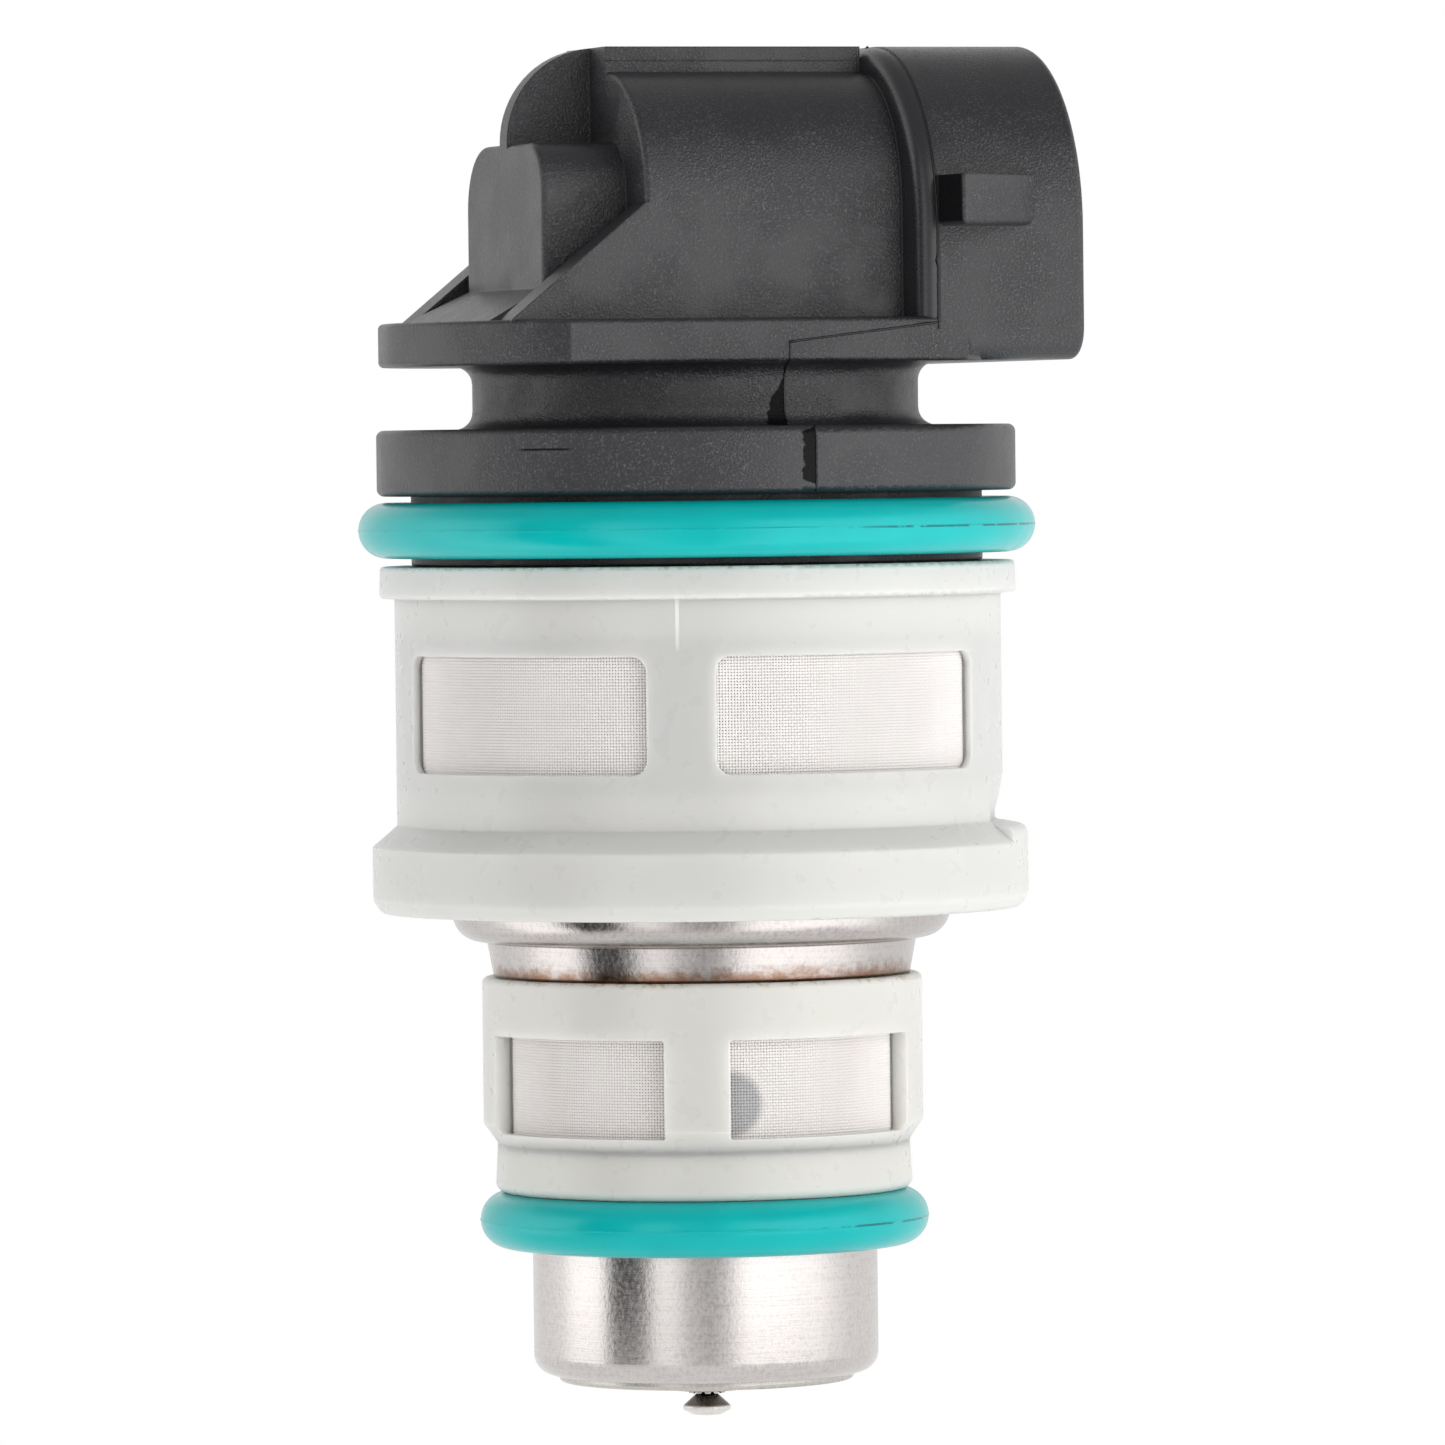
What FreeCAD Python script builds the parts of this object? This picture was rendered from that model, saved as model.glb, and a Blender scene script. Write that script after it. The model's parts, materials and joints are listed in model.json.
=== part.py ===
import FreeCAD, Part
import math
import os

# Single-point fuel injector. Millimetres, +Z up along the injector's axis, +X the way the connector points.
# The origin is on the axis, at the top of the nozzle's pilot, where the lower seal sits.
# Everything is stacked from there: up through the filters to the head, and down to the pintle.

Vector = FreeCAD.Vector

# ---- nozzle end -------------------------------------------------------------------------------------------
PILOT_R = 8.125            # outside of the nozzle where it enters the throttle body
PILOT_LENGTH = 6.02        # from the seal's seat down to the rolled lip
LIP_EDGE = 0.95            # rounding of the rolled lip
LIP_THICKNESS = 0.85
LIP_REACH = 0.30           # how far the lip closes in under the valve seat
SEAL_SEAT_STEP = 0.165     # the lower seal's seat is this much smaller than the pilot
SHELL_WALL = 0.66
SLIP = 0.02                # radial clearance of the stack inside the shell
LIP_CLEARANCE = 0.05       # around the valve seat's spigot in the lip
SEAT_PROUD = 0.35          # valve seat below the lip
BOSS_PROUD = 0.50          # boss around the orifice, below the seat's face
BOSS_R = 1.80
BOSS_EDGE = 0.25
SEAT_BODY_LENGTH = 9.60
ORIFICE_R = 0.60
TOOTH = 0.15               # rim of small teeth around the orifice, below the boss
TOOTH_IN_R = 0.70
TOOTH_OUT_R = 0.84
TOOTH_GAP_R = 0.10
TEETH = 12
ORIFICE_LAND = 0.70        # straight part of the orifice above the seat's face
GUIDE_R = 2.00             # needle's bore
GUIDE_CLEARANCE = 0.02
COUNTERBORE_R = 3.00
COUNTERBORE_DEPTH = 1.00

# ---- needle and armature ----------------------------------------------------------------------------------
LIFT = 0.15                # needle's travel
STOP_GAP = 0.01            # left between the stop collar and its plate at full lift
SEAT_GAP = 0.01            # between the needle's cone and its seat when shut
PINTLE_R = 1.13
PINTLE_LENGTH = 1.17       # below the boss
PINTLE_TIP_R = 0.70
PINTLE_RIM_FOOT = 0.24     # cylindrical rim of the pintle, above its tip
PINTLE_RIM_TOP = 0.42
PINTLE_CONE_GAP = 0.20     # top of the pintle's cone, below the boss
PINTLE_CONE_FLARE = 0.12   # and outside the needle's neck
NEEDLE_NECK_R = 0.40
NEEDLE_CONE_R = 1.60
STEM_R = 1.30
SHANK_R = 1.50             # pressed into the armature
SHANK_GRIP = 5.40
SHANK_STEP = 0.60          # foot of the shank above the stop plate
STOP_COLLAR_R = 2.60
STOP_COLLAR_FOOT = 0.10    # above the counterbore's floor
LAND_RISE = 2.80           # lower guide land above the seat's face
LAND_LENGTH = 1.80         # each of the needle's two guide lands
UPPER_LAND_GAP = 0.20      # upper land below the counterbore
LAND_FLAT = 1.70           # the flats that let fuel past, from the axis
STOP_PLATE = 0.80
STOP_HOLE_R = 1.80
GUIDE_RING = 1.00
ARMATURE_R = 5.30
ARMATURE_CLEARANCE = 0.06
SLEEVE_CLEARANCE = 0.30    # spacer sleeve around the armature
ARMATURE_LENGTH = 8.00
ARMATURE_RISE = 2.90       # top of the armature above the can's floor
ARMATURE_POCKET = 2.40     # the spring's pocket
RESIDUAL_GAP = 0.06        # air gap left at full lift
FLOW_HOLES = 4
FLOW_HOLE_R = 0.65
FLOW_HOLE_PITCH_R = 3.70

# ---- lower seal and filter --------------------------------------------------------------------------------
SEAL_SECTION = 2.62        # standard O-ring section, both seals
LOWER_SEAL_STRETCH = 0.01  # the ring's inner side flattened against its seat
SEAL_GAP = 0.01
LOWER_FILTER_LENGTH = 10.13
FILTER_SLIP = 0.05
LOWER_FOOT_WALL = 1.89     # frame outside the seal's seat, at its foot
LOWER_FOOT_DRAFT = 0.13    # the foot narrows this much up to the chamfer
LOWER_FRAME_WALL = 2.41    # and above the chamfer
LOWER_FOOT = 2.30
LOWER_FOOT_EDGE = 0.45
LOWER_CHAMFER = 0.95
LOWER_LAND = 1.60          # frame's foot that sits on the seal's seat
LOWER_WINDOW_FOOT = 2.90   # frame below the windows
LOWER_WINDOW_HEAD = 2.63   # frame above them
LOWER_WINDOW_CORNER = 0.15
LOWER_SCREEN_INSET = 0.77
LOWER_STRUT_DEG = 17.0
LOWER_WINDOW_DEG = 60.0
LOWER_FILTER_TURN = -19.5  # narrow strut, from -Y towards +X
SHELL_SHOULDER_WALL = 1.04  # spigot under the collar, outside the seal's seat
SHELL_SHOULDER = 2.00      # its height, which the filter pushes onto
SHELL_SHOULDER_CONE = 1.00
PORT_R = 1.60              # fuel inlet
PORT_RISE = 3.10           # above the lift stop plate
PORT_TURN = -9.4
PORTS = 4
COLLAR_HEIGHT = 1.70
COLLAR_WALL = 1.84         # outside the seal's seat, at its foot
COLLAR_TAPER = 0.33

# ---- solenoid ---------------------------------------------------------------------------------------------
CAN_R = 11.73
CAN_WALL = 0.83
CAN_FLOOR = 1.60
CAN_CORNER = 1.30
CAN_INNER_CORNER = 0.40
CAN_SPIGOT = 1.60          # can's spigot in the nozzle shell
CAN_FLOOR_HOLE_R = 5.50
CRIMP = 0.60
CRIMP_REACH = 0.90
RETURN_PORTS = 4
RETURN_PORT_R = 1.25
RETURN_PORT_RISE = 7.90    # above the can's floor
POLE_PLATE = 2.20
CORE_R = 5.60
CORE_BORE_R = 2.00
CORE_STUB_R = 4.00
CORE_STUB = 3.90           # above the pole plate
COIL_SEAL_UPPER = 1.00     # section
COIL_SEAL_LOWER = 1.10
COIL_SEAL_STRETCH = 0.01
COIL_SEAL_INSET = 0.80     # lower seal's inner side outside the hole in the can's floor
BOBBIN_SLIP = 0.10
BOBBIN_WALL = 0.80
BOBBIN_FLANGE = 1.00
BOBBIN_GAP = 0.50          # flange to can, a fuel way
WINDING_GAP = 0.40         # winding inside the flanges
TOWER_R = 1.20
TOWER_CLEARANCE = 0.05
TOWER_RISE = 1.10          # above the pole plate
SPRING_LENGTH = 10.00
SPRING_WIRE_R = 0.24
SPRING_R = 1.60            # to the middle of the wire
SPRING_TURNS = 8
ADJUSTER_TOP = 0.50        # below the core's top
ADJUSTER_SLIP = 0.02
ADJUSTER_GROOVE = 1.30
ADJUSTER_GROOVE_R = 1.10
ADJUSTER_GROOVE_DROP = 3.00
ADJUSTER_SLOT = 0.70       # for a screwdriver
ADJUSTER_SLOT_DEPTH = 1.00

# ---- upper filter and seal --------------------------------------------------------------------------------
UPPER_FILTER_STANDOFF = 1.37  # foot of the filter above the can's underside
UPPER_FILTER_LENGTH = 16.30
UPPER_FILTER_WALL = 1.48
UPPER_SKIRT_WALL = 1.17    # skirt beyond the frame
UPPER_SKIRT_FOOT = 0.60
UPPER_SKIRT_FOOT_IN = 0.40
UPPER_SKIRT_TOP = 3.10     # above the filter's foot
UPPER_CHAMFER = 1.00
UPPER_RING = 1.50          # ring at the filter's top
UPPER_RING_WALL = 0.72
UPPER_RING_DRAFT = 0.05
UPPER_STEP = 0.10          # relief inside the frame under the head's spigot
UPPER_WINDOW_FOOT = 6.70
UPPER_WINDOW_HEAD = 4.14
UPPER_WINDOW_CORNER = 0.70
UPPER_SCREEN_INSET = 0.38
UPPER_STRUT_DEG = 13.0
UPPER_WINDOW_DEG = 59.5
UPPER_FILTER_TURN = -21.2
SNAP_DEG = 30.0            # width of the clip on the connector's side
SNAP_DEPTH = 0.47
SNAP_HEIGHT = 2.05
SNAP_BITE = 0.60           # how far the clip's shoulder runs into the frame
SNAP_FALL = 0.28           # the shoulder slopes down this much to its rim
SNAP_CORNER = 0.50
SCREEN = 0.30
SCREEN_MARGIN = 0.80       # screen held in the frame beyond its windows
UPPER_SEAL_STRETCH = 0.13
UPPER_SEAL_RISE = 0.05     # the ring's middle above the middle of its land

# ---- head -------------------------------------------------------------------------------------------------
SPIGOT_WALL = 1.07         # head's skirt around the can
SPIGOT_LENGTH = 2.10       # under the filter's top ring
LAND_WALL = 1.72           # upper seal's land outside the can
LAND_HEIGHT = 3.30
LAND_EDGE = 0.15
CAN_COVER = 0.60           # can's top below the lower flange
FLANGE_WALL = 3.32         # lower flange outside the can
FLANGE = 3.10
FLANGE_EDGE = 0.35
GROOVE = 2.95              # for the retainer
HEAD_NECK_R = 10.50
NECK_FILLET = 0.85
HEAD_FLANGE_R = 14.90
HEAD_FLANGE = 2.05
SHROUD_HALF = 11.35        # also the head flange's two flats
SHROUD_HEIGHT = 14.85
SHROUD_BACK = 7.28
SHROUD_MOUTH = 15.50
SHROUD_CORNER = 8.70
SHROUD_FOOT_CORNER = 1.50
SHROUD_WALL = 1.75
SHROUD_RIM = 0.35
BAND_END = 8.27            # where the mould's two halves meet
BAND_STEP = 0.07
BAND_EDGE = 0.80
BARREL_BACK = -5.20
BARREL_HALF = 9.08
BARREL_DROP = 1.20         # barrel's top below the shroud's
BARREL_CORNER = 6.30
RAIL_HALF = 3.10
RAIL_STEP = 0.10
RAIL_STEP_RISE = 0.67
FIN_BACK = -9.30
FIN = 1.15
FIN_CORNER = 4.40
BLOCK_HALF = 6.05
BLOCK_DROP = 4.50          # block's top below the shroud's
BLOCK_NEAR_CORNER = 2.20
BLOCK_FAR_CORNER = 3.00
RAMP_HEIGHT = 1.50
RAMP_REACH = 2.95
GUSSET_IN = 7.08
GUSSET_HEIGHT = 5.40
GUSSET_REACH = 6.60
TAB_PROUD = 3.50
TAB_LENGTH = 4.73
TAB_LOW = 6.22             # above the shroud's foot
TAB_HIGH = 8.57
TAB_EDGE = 0.35
EDGE = 0.25                # broken edges of the head

# ---- socket and terminals ---------------------------------------------------------------------------------
SOCKET_STEP = 9.50         # x where the wide mouth narrows
SOCKET_FLOOR = -1.50       # x of the socket's bottom
SOCKET_HALF = 7.40
SOCKET_LOW = 2.62          # above the shroud's foot
SOCKET_HIGH = 12.22
SOCKET_CORNER = 5.00
SOCKET_FOOT_CORNER = 0.80
KEY = 0.90
KEY_OFFSET = 5.00
KEY_SETBACK = 1.00         # the keys' ends behind the step
BLADE_WIDTH = 1.50
BLADE = 0.80
BLADE_OFFSET = 2.60
BLADE_TIP = 8.00
BLADE_TIP_CHAMFER = 0.25
BLADE_BEND_IN = 0.30       # inside of the bend between a terminal's leg and blade
BLADE_BEND_OUT = 0.80
BLADE_HEIGHT = 7.42        # blades above the shroud's foot

# ---- edges ------------------------------------------------------------------------------------------------
CRISP = 0.10               # rounding of a fine turned or moulded edge
SOFT = 0.20
BLUNT = 0.30
BITE = 1.00                # how far joined or cut solids run past each other
NEAR = 0.01                # how close a point is to a plane it counts as on
SAME = 1e-6                # points closer than this are one
QUARTER = 90.0             # degrees

# ---- heights and radii that follow ------------------------------------------------------------------------
lip_bottom = -PILOT_LENGTH
lip_top = lip_bottom + LIP_THICKNESS
seat_face = lip_bottom - SEAT_PROUD
boss_face = seat_face - BOSS_PROUD
seat_top = seat_face + SEAT_BODY_LENGTH
counterbore_floor = seat_top - COUNTERBORE_DEPTH
stop_top = seat_top + STOP_PLATE
seal_seat_r = PILOT_R - SEAL_SEAT_STEP
shell_bore_r = seal_seat_r - SHELL_WALL
stack_r = shell_bore_r - SLIP
shell_shoulder_r = seal_seat_r + SHELL_SHOULDER_WALL
lower_filter_foot = SEAL_SECTION + SEAL_GAP
collar_foot = lower_filter_foot + LOWER_FILTER_LENGTH
collar_top = collar_foot + COLLAR_HEIGHT
floor_top = collar_top + CAN_FLOOR
guide_ring_top = collar_top - CAN_SPIGOT
sleeve_top = guide_ring_top - GUIDE_RING
armature_top = floor_top + ARMATURE_RISE
armature_foot = armature_top - ARMATURE_LENGTH
core_foot = armature_top + LIFT + RESIDUAL_GAP
upper_filter_foot = collar_top + UPPER_FILTER_STANDOFF
upper_filter_top = upper_filter_foot + UPPER_FILTER_LENGTH
land_top = upper_filter_top + LAND_HEIGHT
flange_top = land_top + FLANGE
groove_top = flange_top + GROOVE
head_flange_top = groove_top + HEAD_FLANGE
shroud_top = groove_top + SHROUD_HEIGHT
can_top = land_top - CAN_COVER
plate_top = can_top - CRIMP
plate_foot = plate_top - POLE_PLATE
bobbin_top = plate_foot - COIL_SEAL_UPPER
bobbin_foot = floor_top + COIL_SEAL_LOWER
can_bore_r = CAN_R - CAN_WALL
bobbin_bore_r = CORE_R + BOBBIN_SLIP
core_top = plate_top + CORE_STUB
spring_foot = armature_top - ARMATURE_POCKET
spring_top = spring_foot + SPRING_LENGTH
tower_pitch_r = CORE_R + COIL_SEAL_UPPER + TOWER_R + TOWER_CLEARANCE
leg_x = -math.sqrt(tower_pitch_r ** 2 - BLADE_OFFSET ** 2)
blade_z = groove_top + BLADE_HEIGHT


# ---- helpers ----------------------------------------------------------------------------------------------
def rounded_wire(corners, place):
    """Closed wire through (u, v) or (u, v, rounding) corners, put in space by place(point)."""
    stops = []
    for index, corner in enumerate(corners):
        here = Vector(corner[0], corner[1], 0)
        rounding = corner[2] if len(corner) > 2 else 0
        if rounding == 0:
            stops.append((here, None, here))
            continue
        after_index = (index + 1) % len(corners)
        back = Vector(corners[index - 1][0], corners[index - 1][1], 0) - here
        ahead = Vector(corners[after_index][0], corners[after_index][1], 0) - here
        back.normalize()
        ahead.normalize()
        half_turn = back.getAngle(ahead) / 2
        inward = back + ahead
        inward.normalize()
        reach = rounding / math.tan(half_turn)
        middle = here + inward * (rounding / math.sin(half_turn) - rounding)
        stops.append((here + back * reach, middle, here + ahead * reach))
    edges = []
    for index, (start, middle, end) in enumerate(stops):
        if middle is not None:
            edges.append(Part.Arc(place(start), place(middle), place(end)).toShape())
        next_start = stops[(index + 1) % len(stops)][0]
        if next_start.distanceToPoint(end) > SAME:
            edges.append(Part.LineSegment(place(end), place(next_start)).toShape())
    return Part.Wire(edges)


def outward(solid):
    """The same solid with its faces turned to the outside."""
    if solid.Volume < 0:
        solid.reverse()
    return solid


def turned(corners, sweep=360.0, turn=0.0):
    """Solid turned about the axis from (radius, height) corners; turn starts a part sweep from +X."""
    face = Part.Face(rounded_wire(corners, lambda point: Vector(point.x, 0, point.y)))
    solid = outward(face.revolve(Vector(0, 0, 0), Vector(0, 0, 1), sweep))
    solid.rotate(Vector(0, 0, 0), Vector(0, 0, 1), turn)
    return solid


def extruded(corners, place, direction):
    """Prism of the rounded outline, pushed along direction."""
    return outward(Part.Face(rounded_wire(corners, place)).extrude(direction))


def slab_x(corners, start, end):
    """Prism along X of (y, z) corners."""
    return extruded(corners, lambda point: Vector(start, point.x, point.y), Vector(end - start, 0, 0))


def slab_y(corners, start, end):
    """Prism along Y of (x, z) corners."""
    return extruded(corners, lambda point: Vector(point.x, start, point.y), Vector(0, end - start, 0))


def slab_z(corners, start, end):
    """Prism along Z of (x, y) corners."""
    return extruded(corners, lambda point: Vector(point.x, point.y, start), Vector(0, 0, end - start))


def rectangle(low_u, low_v, high_u, high_v):
    return [(low_u, low_v), (high_u, low_v), (high_u, high_v), (low_u, high_v)]


def cylinder(radius, foot, top, x=0.0, y=0.0):
    return Part.makeCylinder(radius, top - foot, Vector(x, y, foot))


def radial_hole(radius, height, reach, turn):
    """Cylinder from the axis outwards at a height; turn is counted from -Y towards +X."""
    hole = Part.makeCylinder(radius, reach, Vector(0, 0, height), Vector(0, -1, 0))
    hole.rotate(Vector(0, 0, 0), Vector(0, 0, 1), turn)
    return hole


def edges_at(solid, test):
    """The solid's edges whose every vertex passes the test."""
    return [edge for edge in solid.Edges if all(test(vertex.Point) for vertex in edge.Vertexes)]


def o_ring(seat_r, middle, section, stretch):
    """Ring on a round seat, its inner side flattened where it is stretched over it."""
    section_r = section / 2
    ring = Part.makeTorus(seat_r - stretch + section_r, section_r, Vector(0, 0, middle))
    return ring.cut(cylinder(seat_r, middle - section, middle + section))


def arch(half, foot, top, corner, foot_corner):
    """Outline of a slab with two large upper corners."""
    return [(-half, foot, foot_corner), (half, foot, foot_corner), (half, top, corner), (-half, top, corner)]


# ---- nozzle end -------------------------------------------------------------------------------------------
def nozzle_shell():
    shoulder_foot = collar_foot - SHELL_SHOULDER
    collar_r = seal_seat_r + COLLAR_WALL
    shell = turned([
        (shell_bore_r - LIP_REACH, lip_bottom),
        (PILOT_R, lip_bottom, LIP_EDGE),
        (PILOT_R, 0),
        (seal_seat_r, 0),
        (seal_seat_r, shoulder_foot - SHELL_SHOULDER_CONE),
        (shell_shoulder_r, shoulder_foot),
        (shell_shoulder_r, collar_foot),
        (collar_r, collar_foot, CRISP),
        (collar_r + COLLAR_TAPER, collar_top, CRISP),
        (shell_bore_r, collar_top),
        (shell_bore_r, lip_top),
        (shell_bore_r - LIP_REACH, lip_top),
    ])
    return shell.cut(inlet_ports())


def inlet_ports():
    holes = []
    for index in range(PORTS):
        turn = PORT_TURN + index * 360 / PORTS
        holes.append(radial_hole(PORT_R, stop_top + PORT_RISE, PILOT_R + COLLAR_WALL, turn))
    return holes


def valve_seat_body():
    spigot_r = shell_bore_r - LIP_REACH - LIP_CLEARANCE
    cone_foot = seat_face + ORIFICE_LAND
    tooth_foot = boss_face - TOOTH
    seat = turned([
        (ORIFICE_R, boss_face),
        (TOOTH_IN_R, boss_face),
        (TOOTH_IN_R, tooth_foot),
        (TOOTH_OUT_R, tooth_foot),
        (TOOTH_OUT_R, boss_face),
        (BOSS_R, boss_face, BOSS_EDGE),
        (BOSS_R, seat_face, SOFT),
        (spigot_r, seat_face, SOFT),
        (spigot_r, lip_top),
        (stack_r, lip_top),
        (stack_r, seat_top),
        (COUNTERBORE_R, seat_top),
        (COUNTERBORE_R, counterbore_floor),
        (GUIDE_R, counterbore_floor),
        (GUIDE_R, cone_foot + GUIDE_R - ORIFICE_R),
        (ORIFICE_R, cone_foot),
    ])
    gaps = [radial_hole(TOOTH_GAP_R, tooth_foot, BOSS_R, index * 360 / TEETH) for index in range(TEETH)]
    return seat.cut(gaps)


def lift_stop_plate():
    plate = cylinder(stack_r, seat_top, stop_top)
    slot = slab_z(rectangle(0, -STOP_HOLE_R, stack_r + BITE, STOP_HOLE_R), seat_top, stop_top)
    return plate.cut([cylinder(STOP_HOLE_R, seat_top, stop_top), slot])


def spacer_sleeve():
    bore_r = ARMATURE_R + SLEEVE_CLEARANCE
    sleeve = cylinder(stack_r, stop_top, sleeve_top).cut(cylinder(bore_r, stop_top, sleeve_top))
    return sleeve.cut(inlet_ports())


def armature_guide_ring():
    ring = cylinder(stack_r, sleeve_top, guide_ring_top)
    return ring.cut(cylinder(ARMATURE_R + ARMATURE_CLEARANCE, sleeve_top, guide_ring_top))


def needle():
    tip = boss_face - PINTLE_LENGTH
    guide_r = GUIDE_R - GUIDE_CLEARANCE
    cone_start = seat_face + ORIFICE_LAND + SEAT_GAP * math.sqrt(2) - ORIFICE_R
    land_foot = seat_face + LAND_RISE
    upper_land_top = counterbore_floor - UPPER_LAND_GAP
    stop_collar_foot = counterbore_floor + STOP_COLLAR_FOOT
    stop_collar_top = seat_top - LIFT - STOP_GAP
    shank_foot = stop_top + SHANK_STEP
    shank_top = armature_foot + SHANK_GRIP
    body = turned([
        (0, tip),
        (PINTLE_TIP_R, tip, BLUNT),
        (PINTLE_R, tip + PINTLE_RIM_FOOT, CRISP),
        (PINTLE_R, tip + PINTLE_RIM_TOP, CRISP / 2),
        (NEEDLE_NECK_R + PINTLE_CONE_FLARE, boss_face - PINTLE_CONE_GAP),
        (NEEDLE_NECK_R, boss_face - PINTLE_CONE_GAP / 2),
        (NEEDLE_NECK_R, cone_start + NEEDLE_NECK_R),
        (NEEDLE_CONE_R, cone_start + NEEDLE_CONE_R),
        (NEEDLE_CONE_R, land_foot),
        (guide_r, land_foot),
        (guide_r, land_foot + LAND_LENGTH),
        (STEM_R, land_foot + LAND_LENGTH),
        (STEM_R, upper_land_top - LAND_LENGTH),
        (guide_r, upper_land_top - LAND_LENGTH),
        (guide_r, upper_land_top),
        (STEM_R, upper_land_top),
        (STEM_R, stop_collar_foot),
        (STOP_COLLAR_R, stop_collar_foot),
        (STOP_COLLAR_R, stop_collar_top),
        (STEM_R, stop_collar_top),
        (STEM_R, shank_foot),
        (SHANK_R, shank_foot),
        (SHANK_R, shank_top),
        (0, shank_top),
    ])
    flats = []
    for index in range(4):
        flat = slab_z(rectangle(LAND_FLAT, -GUIDE_R, GUIDE_R + BITE, GUIDE_R), land_foot, upper_land_top)
        flat.rotate(Vector(0, 0, 0), Vector(0, 0, 1), QUARTER * index)
        flats.append(flat)
    return body.cut(flats)


def armature():
    block = turned([
        (SHANK_R, armature_foot),
        (ARMATURE_R, armature_foot, SOFT),
        (ARMATURE_R, armature_top, SOFT),
        (CORE_BORE_R, armature_top),
        (CORE_BORE_R, spring_foot),
        (SHANK_R, spring_foot),
    ])
    holes = []
    for index in range(FLOW_HOLES):
        angle = math.tau * (index + 0.5) / FLOW_HOLES
        x = FLOW_HOLE_PITCH_R * math.cos(angle)
        y = FLOW_HOLE_PITCH_R * math.sin(angle)
        holes.append(cylinder(FLOW_HOLE_R, armature_foot, armature_top, x, y))
    return block.cut(holes)


def return_spring():
    rise = SPRING_LENGTH - 2 * SPRING_WIRE_R
    foot = spring_foot + SPRING_WIRE_R
    path = Part.makeHelix(rise / SPRING_TURNS, rise, SPRING_R)
    path.translate(Vector(0, 0, foot))
    wire_end = Part.makeCircle(SPRING_WIRE_R, Vector(SPRING_R, 0, foot), Vector(0, 1, 0))
    return outward(Part.Wire(path.Edges).makePipeShell([Part.Wire([wire_end])], True, True))


# ---- solenoid ---------------------------------------------------------------------------------------------
def solenoid_can():
    can = turned([
        (CAN_FLOOR_HOLE_R, guide_ring_top),
        (stack_r, guide_ring_top),
        (stack_r, collar_top),
        (CAN_R, collar_top, CAN_CORNER),
        (CAN_R, can_top),
        (can_bore_r - CRIMP_REACH, can_top),
        (can_bore_r - CRIMP_REACH, plate_top),
        (can_bore_r, plate_top),
        (can_bore_r, floor_top, CAN_INNER_CORNER),
        (CAN_FLOOR_HOLE_R, floor_top),
    ])
    height = floor_top + RETURN_PORT_RISE
    holes = []
    for index in range(RETURN_PORTS):
        turn = UPPER_FILTER_TURN + (index + 0.5) * 360 / RETURN_PORTS
        holes.append(radial_hole(RETURN_PORT_R, height, CAN_R + BITE, turn))
    return can.cut(holes)


def tower(radius, side):
    """Round post on the bobbin around one terminal's leg."""
    return cylinder(radius, bobbin_top, plate_top + TOWER_RISE, leg_x, side * BLADE_OFFSET)


def terminal(side):
    """Blade in the socket with its leg down through the head into the bobbin."""
    foot = bobbin_top - BOBBIN_FLANGE / 2
    half = BLADE_WIDTH / 2
    middle = side * BLADE_OFFSET
    low = blade_z - BLADE / 2
    high = blade_z + BLADE / 2
    outline = [
        (leg_x - BLADE / 2, foot),
        (leg_x + BLADE / 2, foot),
        (leg_x + BLADE / 2, low, BLADE_BEND_IN),
        (BLADE_TIP - 2 * BLADE_TIP_CHAMFER, low),
        (BLADE_TIP, low + BLADE_TIP_CHAMFER),
        (BLADE_TIP, high - BLADE_TIP_CHAMFER),
        (BLADE_TIP - 2 * BLADE_TIP_CHAMFER, high),
        (leg_x - BLADE / 2, high, BLADE_BEND_OUT),
    ]
    strip = slab_y(outline, middle - half, middle + half)
    plan = [
        (leg_x - BLADE, middle - half),
        (BLADE_TIP - 2 * BLADE_TIP_CHAMFER, middle - half),
        (BLADE_TIP, middle - half + BLADE_TIP_CHAMFER),
        (BLADE_TIP, middle + half - BLADE_TIP_CHAMFER),
        (BLADE_TIP - 2 * BLADE_TIP_CHAMFER, middle + half),
        (leg_x - BLADE, middle + half),
    ]
    return strip.common(slab_z(plan, foot, high))


def coil_bobbin():
    flange_r = can_bore_r - BOBBIN_GAP
    hub_r = bobbin_bore_r + BOBBIN_WALL
    spool = turned([
        (bobbin_bore_r, bobbin_foot),
        (flange_r, bobbin_foot),
        (flange_r, bobbin_foot + BOBBIN_FLANGE),
        (hub_r, bobbin_foot + BOBBIN_FLANGE),
        (hub_r, bobbin_top - BOBBIN_FLANGE),
        (flange_r, bobbin_top - BOBBIN_FLANGE),
        (flange_r, bobbin_top),
        (bobbin_bore_r, bobbin_top),
    ])
    for side in (-1, 1):
        spool = spool.fuse(tower(TOWER_R, side)).cut(terminal(side))
    return spool


def coil_winding():
    winding_r = can_bore_r - BOBBIN_GAP - WINDING_GAP
    foot = bobbin_foot + BOBBIN_FLANGE
    top = bobbin_top - BOBBIN_FLANGE
    return cylinder(winding_r, foot, top).cut(cylinder(bobbin_bore_r + BOBBIN_WALL, foot, top))


def coil_seal_upper():
    return o_ring(CORE_R, bobbin_top + COIL_SEAL_UPPER / 2, COIL_SEAL_UPPER, COIL_SEAL_STRETCH)


def coil_seal_lower():
    seat_r = CAN_FLOOR_HOLE_R + COIL_SEAL_INSET
    return o_ring(seat_r, floor_top + COIL_SEAL_LOWER / 2, COIL_SEAL_LOWER, 0.0)


def pole_plate():
    plate = cylinder(can_bore_r, plate_foot, plate_top).cut(cylinder(CORE_R, plate_foot, plate_top))
    return plate.cut([tower(TOWER_R + TOWER_CLEARANCE, side) for side in (-1, 1)])


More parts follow.
